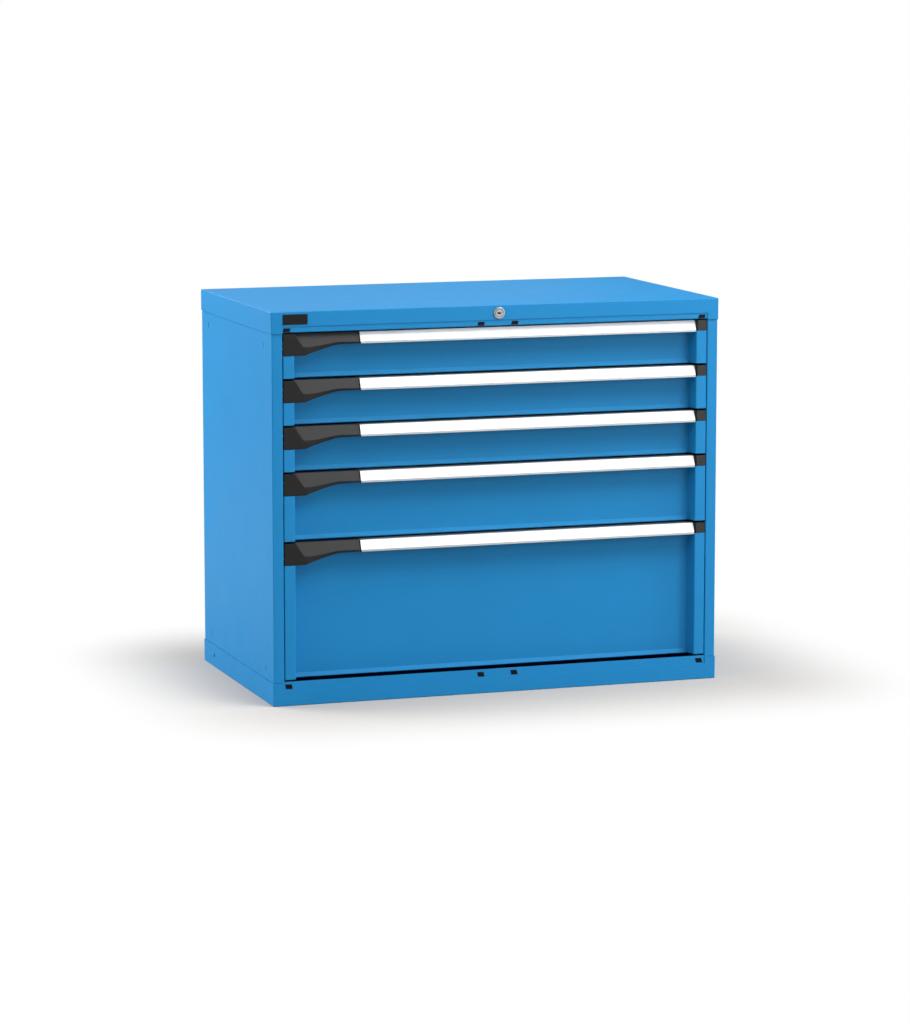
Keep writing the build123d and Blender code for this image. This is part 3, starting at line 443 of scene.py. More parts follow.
class Shape:
    """A mesh under construction, in millimetres, that becomes one piece of the cabinet."""

    ROUND_STEPS = 4

    def __init__(self) -> None:
        """Starts with nothing."""
        self.bm = bmesh.new()

    def prism(
        self, section: Sequence[Point], axis: Axis, low: float, high: float, cuts: Sequence[float] = ()
    ) -> "Shape":
        """Adds a solid of one section along an axis.

        Args:
            section: The section's corners in the two other axes.
            axis: The axis.
            low: Where the solid begins along it.
            high: Where it ends.
            cuts: How far the rounding of each corner reaches along its edges, where corners are rounded.

        Returns:
            The shape itself.
        """
        known = set(self.bm.edges)
        verts = [self.bm.verts.new(axis.place(across, up, low)) for across, up in section]
        for index, vert in enumerate(verts):
            self.bm.edges.new((vert, verts[index - 1]))
        for vert, cut in zip(verts, cuts):
            if cut:
                self.bevel([vert], cut, self.ROUND_STEPS, "VERTICES")
        outline = [edge for edge in self.bm.edges if edge not in known]
        face = bmesh.ops.contextual_create(self.bm, geom=outline)["faces"][0]
        drawn = bmesh.ops.extrude_face_region(self.bm, geom=[face])["geom"]
        moved = [item for item in drawn if isinstance(item, BMVert)]
        bmesh.ops.translate(self.bm, vec=axis.vector * (high - low), verts=moved)
        around = dict.fromkeys([face, *(f for vert in moved for f in vert.link_faces)])
        bmesh.ops.recalc_face_normals(self.bm, faces=list(around))
        return self

    def block(self, low: Sequence[float], high: Sequence[float], edge: float = 0.0) -> "Shape":
        """Adds a rectangular solid.

        Args:
            low: Its lowest corner.
            high: Its highest corner.
            edge: The rounding of its edges.

        Returns:
            The shape itself.
        """
        low, high = Vector(low), Vector(high)
        place = Matrix.LocRotScale((low + high) / 2, None, high - low)
        verts = bmesh.ops.create_cube(self.bm, size=1.0, matrix=place)["verts"]
        if edge:
            self.bevel(dict.fromkeys(e for vert in verts for e in vert.link_edges), edge)
        return self

    def rod(
        self, axis: Axis, radius: float, low: float, high: float, centre: Point, steps: int = 32
    ) -> "Shape":
        """Adds a round bar.

        Args:
            axis: The axis that it lies along.
            radius: Its radius.
            low: Where it begins along the axis.
            high: Where it ends.
            centre: Its place in the two other axes.
            steps: How many sides the round has.

        Returns:
            The shape itself.
        """
        turn = axis.vector.to_track_quat("Z", "Y")
        place = Matrix.LocRotScale(axis.place(*centre, (low + high) / 2), turn, None)
        size = {"radius1": radius, "radius2": radius, "depth": high - low}
        bmesh.ops.create_cone(self.bm, cap_ends=True, segments=steps, matrix=place, **size)
        return self

    def folded(
        self,
        path: Sequence[Point],
        axis: Axis,
        low: float,
        high: float,
        sheet: float,
        fold: float,
        last_fold: float = 0.0,
    ) -> "Shape":
        """Adds a folded sheet of one section along an axis.

        Args:
            path: The corners of one face of the sheet in the two other axes, with the metal on its left.
            axis: The axis.
            low: Where the sheet begins along it.
            high: Where it ends.
            sheet: Its thickness.
            fold: The outer radius of its folds.
            last_fold: The outer radius of its last fold, where that differs.

        Returns:
            The shape itself.
        """
        points = [Vector(point) for point in path]
        ways = [(after - point).normalized() for point, after in zip(points, points[1:])]
        sides = [Vector((-way.y, way.x)) for way in ways]
        near, far = [0.0], [0.0]
        behind = [points[0] + sides[0] * sheet]
        folds = [fold] * (len(points) - 3) + [last_fold or fold]
        for point, before, after, fold in zip(points[1:], sides, sides[1:], folds):
            behind.append(point + (before + after) * sheet / (1 + before.dot(after)))
            reach = math.tan(abs(before.angle_signed(after)) / 2)
            radii = (fold, fold - sheet) if before.cross(after) > 0 else (fold - sheet, fold)
            near.append(reach * radii[0])
            far.append(reach * radii[1])
        behind.append(points[-1] + sides[-1] * sheet)
        section = [tuple(point) for point in (*points, *reversed(behind))]
        return self.prism(section, axis, low, high, (*near, 0.0, 0.0, *reversed(far)))

    def turned(self, profile: Sequence[Point], centre: Vector, steps: int = 64) -> "Shape":
        """Adds a solid turned about an axis along Y.

        Args:
            profile: Its closed outline, each point a radius and a Y.
            centre: A point of the axis.
            steps: How many steps the turn has.

        Returns:
            The shape itself.
        """
        verts = [self.bm.verts.new((centre.x + radius, y, centre.z)) for radius, y in profile]
        edges = [self.bm.edges.new((vert, verts[index - 1])) for index, vert in enumerate(verts)]
        turn = {"cent": centre, "axis": Axis.Y.vector, "angle": math.tau, "steps": steps}
        bmesh.ops.spin(self.bm, geom=verts + edges, use_merge=True, **turn)
        bmesh.ops.recalc_face_normals(self.bm, faces=self.bm.faces[:])
        return self

    def edges_along(self, axis: Axis, among: Sequence[BMEdge] = ()) -> list[BMEdge]:
        """Picks the edges that run along an axis.

        Args:
            axis: The axis.
            among: The edges to pick from, where these are not all of the shape's.

        Returns:
            The edges.
        """
        ways = {edge: (edge.verts[1].co - edge.verts[0].co).normalized() for edge in among or self.bm.edges}
        return [edge for edge, way in ways.items() if abs(way[axis.value]) > FACING]

    def bevel(
        self, geometry: Iterable[BMVert | BMEdge], reach: float, steps: int = 3, affect: str = "EDGES"
    ) -> list[BMFace]:
        """Rounds edges or corners.

        Args:
            geometry: The edges or corners.
            reach: How far the rounding reaches along the faces or edges beside it.
            steps: How many steps the round has.
            affect: EDGES or VERTICES.

        Returns:
            The new faces.
        """
        return bmesh.ops.bevel(
            self.bm,
            geom=list(geometry),
            offset=reach,
            offset_type="OFFSET",
            segments=steps,
            profile=0.5,
            affect=affect,
            material=-1,
            clamp_overlap=affect == "EDGES",
        )["faces"]

    def soften(self, radius: float, steps: int = 2) -> "Shape":
        """Rounds every sharp edge a little, as tumbling, paint or a mould leaves it."""
        self.bm.normal_update()
        sharp = [e for e in self.bm.edges if e.is_manifold and e.calc_face_angle(0.0) > SHARP_ANGLE]
        self.bevel(sharp, radius, steps)
        return self

    def mirrored(self) -> "Shape":
        """Turns the shape into its mirror image on the other side of the cabinet."""
        bmesh.ops.scale(self.bm, vec=(-1.0, 1.0, 1.0), verts=self.bm.verts[:])
        bmesh.ops.reverse_faces(self.bm, faces=self.bm.faces[:])
        return self

    def combine(self, other: "Shape", operation: str) -> "Shape":
        """Cuts another shape from this one or joins it on.

        Args:
            other: The other shape, which is used up.
            operation: DIFFERENCE or UNION.

        Returns:
            The shape itself.
        """
        objects = []
        for name, shape in (("base", self), ("other", other)):
            mesh = bpy.data.meshes.new(name)
            shape.bm.to_mesh(mesh)
            objects.append(bpy.data.objects.new(name, mesh))
            bpy.context.scene.collection.objects.link(objects[-1])
        cut = objects[0].modifiers.new("cut", "BOOLEAN")
        cut.object = objects[1]
        cut.operation = operation
        cut.solver = "EXACT"
        graph = bpy.context.evaluated_depsgraph_get()
        result = objects[0].evaluated_get(graph).to_mesh()
        self.bm.clear()
        self.bm.from_mesh(result)
        other.bm.free()
        for thing in objects:
            mesh = thing.data
            bpy.data.objects.remove(thing)
            bpy.data.meshes.remove(mesh)
        return self

    def cut(self, tool: "Shape") -> "Shape":
        """Cuts another shape out of this one."""
        return self.combine(tool, "DIFFERENCE")

    def join(self, other: "Shape") -> "Shape":
        """Joins another shape to this one as one solid."""
        return self.combine(other, "UNION")

    def finish(self, name: str, finish: Finish, body: str, *nodes: str) -> bpy.types.Object:
        """Makes the shape a piece of the scene.

        Args:
            name: The piece's name.
            finish: What it is finished with.
            body: The CAD body that it rides on.
            nodes: The CAD nodes that it stands for.

        Returns:
            The piece.
        """
        bmesh.ops.remove_doubles(self.bm, verts=self.bm.verts[:], dist=0.001)
        bmesh.ops.scale(self.bm, vec=(MM, MM, MM), verts=self.bm.verts[:])
        mesh = bpy.data.meshes.new(name)
        self.bm.to_mesh(mesh)
        self.bm.free()
        mesh.shade_smooth()
        mesh.set_sharp_from_angle(angle=SHARP_ANGLE)
        mesh.materials.append(finish.material())
        piece = bpy.data.objects.new(name, mesh)
        bpy.context.scene.collection.objects.link(piece)
        weighted = piece.modifiers.new("flat_faces_stay_flat", "WEIGHTED_NORMAL")
        weighted.keep_sharp = True
        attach(piece, body)
        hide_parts(*nodes)
        LOG.info("%s: %d faces, %s", name, len(mesh.polygons), finish.name)
        return piece


@dataclass
class SheetWork:
    """Steel sheet that is cut, folded and painted."""

    sheet: float = 1.5
    fold: float = 2.0
    raw_edge: float = 0.3
    hair: float = 0.03  # Too small to see; it keeps two faces from falling together

    def open_box(self, low: Vector, high: Vector, rim: float) -> Shape:
        """Makes a box of a single skin with rounded folds.

        Args:
            low: The lowest corner of its outer face.
            high: The highest corner.
            rim: The height of its open side.

        Returns:
            The box.
        """
        box = Shape().block(low, high)
        open_side = [face for face in box.bm.faces if abs(face.calc_center_median().z - rim) < self.sheet]
        bmesh.ops.delete(box.bm, geom=open_side, context="FACES_ONLY")
        box.bm.normal_update()
        box.bevel([e for e in box.bm.edges if len(e.link_faces) == 2], self.fold, Shape.ROUND_STEPS)
        return box


@dataclass
class Housing(SheetWork):
    """Folded sheet-steel housing: cover, base tray, side panels, front rails and back."""

    stile: float = 24.0
    stile_return: float = 20.0
    rear_return: float = 25.0
    rail_return: float = 20.0
    flange_cut_back: float = 15.0
    fit_gap: float = 0.3
    lock_hole: float = 11.0
    mark: Place = (0.6, 5.0, 13.0)
    mark_steps: int = 6
    mark_inset: float = 62.0
    mark_from_end: float = 75.0
    seam_depth: float = 0.9
    seam_heights: Point = (1.8, 1.0)
    side_hole: float = 4.0
    side_hole_place: Point = (87.0, 26.0)
    floor_bolt: float = 5.5
    floor_bolt_inset: Point = (80.0, 60.0)
    rail_rise: float = 3.0
    rail_lift: float = 2.0
    rod_drop: float = 27.0
    rod_half: float = 6.0
    guide_width: float = 6.0
    guide_places: Point = (-130.0, -330.0)
    weld_spot: float = 3.0
    weld_depth: float = 0.25
    weld_pitch: float = 95.0

    def __post_init__(self) -> None:
        """Reads the places that come from the frame."""
        self.cover_low, self.cover_high = node_box("top_cover")
        self.base_high = node_box("base_tray")[1]
        self.panel_low, self.panel_high = node_box("left_side_panel")
        self.lock_z = sum(corner.z for corner in node_box("lock_plug")) / 2
        self.stile_edge = self.panel_low.x + self.stile

    def tray(self, low: Vector, high: Vector, rim: float, notch: float) -> Shape:
        """Makes a folded tray.

        Args:
            low: The lowest corner of its outer face.
            high: The highest corner.
            rim: The height of its open side.
            notch: The height that its front flange is cut back to between the stiles.

        Returns:
            The tray.
        """
        shape = self.open_box(low, high, rim)
        bm = shape.bm
        left, right, level = (self.stile_edge, 0.0, 0.0), (-self.stile_edge, 0.0, 0.0), (0.0, 0.0, notch)
        for place, axis in ((left, Axis.X), (right, Axis.X), (level, Axis.Z)):
            front = [face for face in bm.faces if face.normal.y < -FACING]
            around = dict.fromkeys(item for face in front for item in (*face.edges, *face.verts))
            bmesh.ops.bisect_plane(bm, geom=[*front, *around], plane_co=place, plane_no=axis.vector)
        cut_away = []
        for face in bm.faces:
            middle = face.calc_center_median()
            between = abs(middle.x) < -self.stile_edge and middle.y < low.y + self.sheet
            if between and abs(middle.z - rim) < abs(notch - rim):
                cut_away.append(face)
        bmesh.ops.delete(bm, geom=cut_away, context="FACES")
        bmesh.ops.solidify(bm, geom=bm.faces[:], thickness=self.sheet)
        return shape

    def add_lock_hole(self, holes: Shape, front: float) -> None:
        """Adds the hole for the lock, through a sheet whose face is at this Y."""
        place = (0.0, self.lock_z)
        holes.rod(Axis.Y, self.lock_hole, front - self.sheet, front + 2 * self.sheet, place, steps=48)

    def add_side_holes(self, holes: Shape) -> None:
        """Adds the screw holes through the sides, near the back of the foot."""
        place = (self.cover_high.y - self.side_hole_place[0], self.side_hole_place[1])
        reach = 4 * self.sheet
        for x in (self.cover_low.x, self.cover_high.x):
            holes.rod(Axis.X, self.side_hole, x - reach, x + reach, place)

    def build_cover(self) -> None:
        """Makes the cover, with the hole for the lock."""
        low, high = self.cover_low, self.cover_high
        cover = self.tray(low, high, low.z, low.z + self.flange_cut_back)
        hole = Shape()
        self.add_lock_hole(hole, low.y)
        cover.cut(hole).soften(self.raw_edge).finish("cover", BLUE_COAT, "cabinet", "top_cover")

    def build_base(self) -> None:
        """Makes the base tray, with its floor bolt holes and the screw holes in its sides."""
        low, high = Vector((self.cover_low.x, self.cover_low.y, 0.0)), self.base_high
        base = self.tray(low, high, high.z, high.z - self.flange_cut_back)
        holes = Shape()
        across, back = self.floor_bolt_inset
        for x in (low.x + across, high.x - across):
            for y in (low.y + back, high.y - back):
                holes.rod(Axis.Z, self.floor_bolt, -self.sheet, 2 * self.sheet, (x, y))
        self.add_side_holes(holes)
        base.cut(holes).soften(self.raw_edge).finish("base", BLUE_COAT, "cabinet", "base_tray")

    def side_marks(self) -> Shape:
        """The pressed marks of the left side, with rounded ends, as a shape to cut out."""
        x = self.panel_low.x
        depth, wide, tall = self.mark
        marks = Shape()
        for y in (self.cover_low.y + self.mark_inset, self.cover_high.y - self.mark_inset):
            for z in (self.mark_from_end, self.cover_high.z - self.mark_from_end):
                first = len(marks.bm.edges)
                marks.block((x - depth, y - wide / 2, z - tall / 2), (x + depth, y + wide / 2, z + tall / 2))
                marks.bm.edges.ensure_lookup_table()
                corners = marks.edges_along(Axis.X, marks.bm.edges[first:])
                marks.bevel(corners, wide / 2 - self.hair, self.mark_steps)
        return marks

    def build_side(self, side: Side) -> None:
        """Makes a side panel with its front stile, rear return, pressed marks and the seams at its ends."""
        low, high = self.panel_low, self.panel_high
        rear, front = (low.x, high.y), (low.x, low.y)
        stile = [(self.stile_edge, low.y), (self.stile_edge, low.y + self.stile_return)]
        path = [(low.x + self.rear_return, high.y), rear, front, *stile]
        panel = Shape().folded(path, Axis.Z, low.z, high.z, self.sheet, self.fold)
        cuts = self.side_marks()
        self.add_side_holes(cuts)
        upper, lower = self.seam_heights
        clear = 2 * self.fold
        under_cover = (self.cover_low.z - upper, self.cover_low.z)
        over_base = (self.base_high.z, self.base_high.z + lower)
        for foot, head in (under_cover, over_base):
            outside = (low.x - BEYOND, low.y + clear, foot), (low.x + self.seam_depth, high.y + BEYOND, head)
            stile_end = (self.stile_edge - self.fold, low.y + self.seam_depth, head)
            cuts.block(*outside).block((low.x + clear, low.y - BEYOND, foot), stile_end)
        panel.cut(cuts).soften(self.raw_edge)
        if side is Side.RIGHT:
            panel.mirrored()
        panel.finish(f"side_{side.value}", BLUE_COAT, "cabinet", f"{side.value}_side_panel")

    def build_rails(self, plug_holes: Shape) -> None:
        """Makes the rails above and below the drawers, and the guides of the lock's rod.

        Args:
            plug_holes: The holes that the plugs close.
        """
        front = self.panel_low.y
        behind = front + self.rail_return
        reach = -self.stile_edge - self.fit_gap
        ceiling, top = self.cover_low.z + self.rail_lift, self.panel_high.z
        floor = self.base_high.z + self.rail_rise
        rails = Shape()
        for path in (
            [(behind, top), (front, top), (front, ceiling), (behind, ceiling)],
            [(front, floor), (front, self.sheet), (behind, self.sheet)],
        ):
            rails.folded(path, Axis.X, -reach, reach, self.sheet, self.fold)
        self.add_lock_hole(plug_holes, front)
        rails.cut(plug_holes).soften(self.raw_edge)
        rod_low, rod_high = node_box("lock_cross_rod")
        rod_z = self.cover_high.z - self.rod_drop
        rod_back = rod_high.y + self.fit_gap
        half = self.rod_half + self.fit_gap
        guides = Shape()
        for x in self.guide_places:
            low = (x - self.guide_width / 2, front + self.sheet, rod_z - half - self.sheet)
            high = (x + self.guide_width / 2, rod_back + self.sheet, top - self.sheet)
            guides.block(low, high, self.raw_edge)
        window_low = (-self.cover_high.x, rod_low.y - self.fit_gap, rod_z - half)
        guides.cut(Shape().block(window_low, (self.cover_high.x, rod_back, rod_z + half)))
        rails.join(guides).finish("rails", BLUE_COAT, "cabinet", "front_rails")

    def build_back(self) -> None:
        """Makes the back panel, with the spot welds that hold it to the side panels' returns."""
        low, high = node_box("back_panel")
        spots = Shape()
        rows = int((high.z - low.z) // self.weld_pitch)
        start = (low.z + high.z - rows * self.weld_pitch) / 2
        for x in (low.x + self.rear_return / 2, high.x - self.rear_return / 2):
            for row in range(rows + 1):
                place = (x, start + row * self.weld_pitch)
                spots.rod(Axis.Y, self.weld_spot, low.y - BEYOND, low.y + self.weld_depth, place, steps=20)
        back = Shape().block(low, high).cut(spots).soften(self.raw_edge / 2)
        back.finish("rear_panel", BLUE_COAT, "cabinet", "back_panel")

    def build(self, plug_holes: Shape) -> None:
        """Makes the whole housing.

        Args:
            plug_holes: The holes that the plugs close.
        """
        self.build_cover()
        self.build_base()
        for side in Side:
            self.build_side(side)
        self.build_rails(plug_holes)
        self.build_back()
        for node in ("uprights", "cabinet_runners", "lock_cam", "lock_cross_rod", "locking_bar"):
            dress_node(node, RUNNER_ZINC)


@dataclass
class HolePlugs:
    """Eight slanted black plugs in the front rails."""

    width: float = 17.0
    rim: float = 1.5
    proud: float = 0.8
    body: float = 3.0
    shift: float = -2.0
    lean: float = 0.25
    edge: float = 0.35
    heights: Point = (10.0, 8.0)
    levels: Point = (42.5, 810.5)
    side_inset: float = 37.0
    centre_offset: float = 38.5

    def __post_init__(self) -> None:
        """Reads the rails' front and works out the middle and height of each plug."""
        self.front = node_box("left_side_panel")[0].y
        across = node_box("top_cover")[1].x - self.side_inset
        columns = (-across, -self.centre_offset, self.centre_offset, across)
        rows = list(zip(self.levels, self.heights))
        self.places = [(x + self.shift, z, height) for x in columns for z, height in rows]

    def outline(self, x: float, z: float, height: float, rim: float) -> list[Point]:
        """The corners of one plug.

        Args:
            x: Its middle along X.
            z: Its middle along Z.
            height: Its height.
            rim: How far the outline is drawn in.

        Returns:
            Four corners in X and Z.
        """
        up = height / 2 - rim
        half = (self.width - self.lean * height) / 2 - rim
        lean = self.lean * up * (1 if z > self.levels[0] else -1)
        return [(x - half - lean, z - up), (x + half - lean, z - up), (x + half + lean, z + up),
                (x - half + lean, z + up)]

    def holes(self) -> Shape:
        """The holes that the plugs close."""
        holes = Shape()
        for place in self.places:
            outline = self.outline(*place, self.rim)
            holes.prism(outline, Axis.Y, self.front - self.body, self.front + self.body)
        return holes

    def build(self) -> None:
        """Makes the plugs, each a head on a body."""
        heads, bodies = Shape(), Shape()
        for place in self.places:
            heads.prism(self.outline(*place, 0.0), Axis.Y, self.front - self.proud, self.front)
            inner = self.outline(*place, self.rim)
            bodies.prism(inner, Axis.Y, self.front - self.proud / 2, self.front + self.body)
        heads.soften(self.edge).join(bodies).finish("plugs", PLUG_PLASTIC, "cabinet", "hole_plugs")


@dataclass
class NamePlate:
    """Bare black plate on the cover's front flange."""

    corner: float = 1.0
    edge: float = 0.3

    def build(self) -> None:
        """Makes the plate with rounded corners."""
        plate = Shape().block(*node_box("name_plate"))
        plate.bevel(plate.edges_along(Axis.Y), self.corner, Shape.ROUND_STEPS)
        plate.soften(self.edge).finish("plate", PLATE_PLASTIC, "cabinet", "name_plate")


@dataclass
class Lock:
    """Cam lock in the middle of the cover: a ring on a round housing, and the turning plug."""

    ring_radius: float = 13.0
    body_radius: float = 11.0
    bore: float = 8.6
    plug_radius: float = 8.5
    ring_round: float = 1.2
    ring_chamfer: float = 1.1
    plug_sink: float = 0.5
    plug_edge: float = 0.5
    keyway: Point = (8.8, 3.6)
    keyway_depth: float = 14.0
    keyway_flat: float = 0.1

    def build(self) -> None:
        """Makes the housing with its ring, and the plug with its keyway."""
        low, high = node_box("lock_body")
        cover_front = node_box("top_cover")[0].y
        centre = Vector((0.0, 0.0, (low.z + high.z) / 2))
        metal = NickelPlate("turned_nickel_plate", "lock_metal", centre_mm=tuple(centre))
        rounded = []
        for angle in (math.radians(angle) for angle in range(0, 91, 15)):
            radius = self.ring_radius - self.ring_round * (1 - math.cos(angle))
            rounded.append((radius, low.y + self.ring_round * (1 - math.sin(angle))))
        body = [(self.bore, high.y), (self.body_radius, high.y), (self.body_radius, cover_front)]
        mouth = [(self.bore + self.ring_chamfer, low.y), (self.bore, low.y + self.ring_chamfer)]
        profile = [*body, (self.ring_radius, cover_front), *rounded, *mouth]
        Shape().turned(profile, centre).finish("lock_ring", metal, "cabinet", "lock_body")
        plug_low, plug_high = node_box("lock_plug")
        face = plug_low.y + self.plug_sink
        plug = Shape().rod(Axis.Y, self.plug_radius, face, plug_high.y, (centre.x, centre.z), steps=64)
        wide, tall = self.keyway
        slot_low = (-wide / 2, face - BEYOND, centre.z - tall / 2)
        slot = Shape().block(slot_low, (wide / 2, face + self.keyway_depth, centre.z + tall / 2))
        slot.bevel(slot.edges_along(Axis.Y), tall / 2 - self.keyway_flat, Shape.ROUND_STEPS)
        plug.soften(self.plug_edge).cut(slot).finish("lock_core", metal, "lock_plug", "lock_plug")


@dataclass
class DrawerFront(SheetWork):
    """Folded drawer front: flush side strips, tapered recess walls, a set-back panel and a slanted lip."""

    strip: float = 24.0
    strip_return: float = 12.0
    strip_rise: float = 2.0
    taper: float = 8.0
    wall_fold: float = 9.0
    wall_land: float = 14.0
    lip: float = 10.5
    lip_depth: float = 4.5
    lip_return: float = 16.5
    panel_drop: float = 1.0
    cap_seat: float = 4.0
    handle_clearance: float = 1.0
    keeper_left: float = -476.5
    keeper_front: float = -257.0
    keeper_rise: float = 53.0
    keeper_height: float = 12.0
    keeper_bite: float = 0.5

    def strips(self, drawer: str) -> tuple[Shape, Shape]:
        """Makes the strips beside the panel, with the walls of the recess.

        Args:
            drawer: The drawer's body.

        Returns:
            The left strip and the right one, which runs into the panel in a wide fold.
        """
        low, high = node_box(f"{drawer}_front")
        handle_low, handle_high = node_box(f"{drawer}_handle")
        recess = low.x + self.strip + self.taper
        behind = handle_high.y + self.hair
        path = [
            (low.x, low.y + self.strip_return),
            (low.x, low.y),
            (low.x + self.strip, low.y),
            (recess, behind),
        ]
        made = []
        for side, corners in ((Side.LEFT, path), (Side.RIGHT, [*path, (recess + self.wall_land, behind)])):
            top = node_box(f"{drawer}_{side.value}_cap")[0].z - self.raw_edge
            last_fold = self.wall_fold if side is Side.RIGHT else 0.0
            foot = low.z + self.strip_rise
            made.append(Shape().folded(corners, Axis.Z, foot, top, self.sheet, self.fold, last_fold))
        room_low = (-recess - self.taper, low.y - self.sheet, handle_low.z - self.handle_clearance)
        inner = -low.x - self.strip + self.handle_clearance / 2
        made[1].mirrored().cut(Shape().block(room_low, (inner, handle_high.y, high.z + self.panel_drop)))
        return made[0], made[1]

    def build(self, drawer: str) -> None:
        """Makes the front of one drawer.

        Args:
            drawer: The drawer's body.
        """
        low, high = node_box(f"{drawer}_front")
        panel_face = node_box(f"{drawer}_handle")[1].y
        wall = low.x + self.strip
        lip_face, lip_top = panel_face - self.lip_depth, low.z + self.lip
        lip = [(lip_face, low.z), (lip_face + self.lip_return, low.z)]
        path = [(panel_face, high.z), (panel_face, lip_top), *lip]
        depth = panel_face - low.y
        reach = -(wall + self.taper * (depth - self.lip_depth) / depth - self.sheet)
        seat = -(wall - self.cap_seat)
        whole = Shape().folded(path, Axis.X, -seat, seat, self.sheet, self.fold)
        room = Shape()
        for inner, outer in ((reach, seat + self.sheet), (-seat - self.sheet, -reach)):
            room.block((inner, low.y, low.z - self.sheet), (outer, panel_face + self.lip_return, lip_top))
        whole.cut(room).soften(self.raw_edge)
        foot = low.z + self.keeper_rise
        head = foot + self.keeper_height
        back, end = self.keeper_front - self.sheet, wall + self.taper - self.sheet
        keeper = Shape().block((self.keeper_left, back, foot), (end, self.keeper_front, head))
        keeper.join(Shape().block((wall, back, foot), (end, panel_face + self.keeper_bite, head)))
        left_strip, right_strip = self.strips(drawer)
        for part in (left_strip.soften(self.raw_edge), right_strip.soften(self.raw_edge), keeper):
            whole.join(part)
        whole.finish(f"{drawer}_folded_front", BLUE_COAT, drawer, f"{drawer}_front")


@dataclass(frozen=True)
class Handle:
    """Aluminium handle profile with a leaning face, and the white label in its seat."""

    lean: float = 10.5
    height: float = 25.0
    wall: float = 1.8
    seat: float = 1.2
    label: float = 1.0
    top_lip: float = 0.8
    bottom_lip: float = 4.5
    leg: float = 16.0
    play: float = 0.1
    edge: float = 0.25

    @property
    def face(self) -> float:
        """The length of the leaning face."""
        return math.hypot(self.lean, self.height)

    def point(self, front: float, top: float, drop: float, inward: float) -> Point:
        """A point measured from the top of the leaning face.

        Args:
            front: The Y of the face's foot.
            top: The Z of the face's top.
            drop: How far down along the face.
            inward: How far behind it.

        Returns:
            The point in Y and Z.
        """
        down = Vector((-self.lean, -self.height)) / self.face
        behind = Vector((-down.y, down.x))
        place = Vector((front + self.lean, top)) + down * drop + behind * inward
        return place.x, place.y

    def build(self, drawer: str) -> None:
        """Makes the profile and the label of one drawer.

        Args:
            drawer: The drawer's body.
        """
        low, high = node_box(f"{drawer}_handle")
        front, back, top = low.y, high.y, high.z
        wall = self.seat + self.wall
        shoulder = self.face - self.bottom_lip
        at = partial(self.point, front, top)
        section = [
            (back, top),
            (front + self.lean, top),
            at(self.top_lip, 0.0),
            at(self.top_lip, self.seat),
            at(shoulder, self.seat),
            at(shoulder, 0.0),
            at(self.face, 0.0),
            at(self.face - wall * self.lean / self.height, wall),
            (at(wall, wall)[0], top - self.wall),
            (back - self.wall, top - self.wall),
            (back - self.wall, top - self.leg),
            (back, top - self.leg),
        ]
        profile = Shape().prism(section, Axis.X, low.x, high.x).soften(self.edge)
        profile.finish(f"{drawer}_profile", HANDLE_ALUMINIUM, drawer, f"{drawer}_handle")
        upper, lower, outer = self.top_lip + self.play, shoulder - self.play, self.seat - self.label
        strip = [at(upper, outer), at(lower, outer), at(lower, self.seat), at(upper, self.seat)]
        card = Shape().prism(strip, Axis.X, low.x, high.x).soften(self.edge / 2)
        card.finish(f"{drawer}_card", LABEL_CARD, drawer, f"{drawer}_label")


@dataclass
class GripFit:
    """Where a left cap, its grip lever and the handle meet.

    Places along X are insets from the cabinet's side, and heights are drops from the drawer's top.
    """

    start: float = 53.0
    bend: Point = (72.0, 31.0)
    foot: Point = (78.4, 47.0)
    boss: float = 12.0
    setback: float = 0.5
    grip_wall: float = 3.0
    ear_right: float = 199.9
    arm_end: float = 86.0
    pivot_back: float = 14.5
    pivot_drop: float = 6.0
    handle: Handle = Handle()


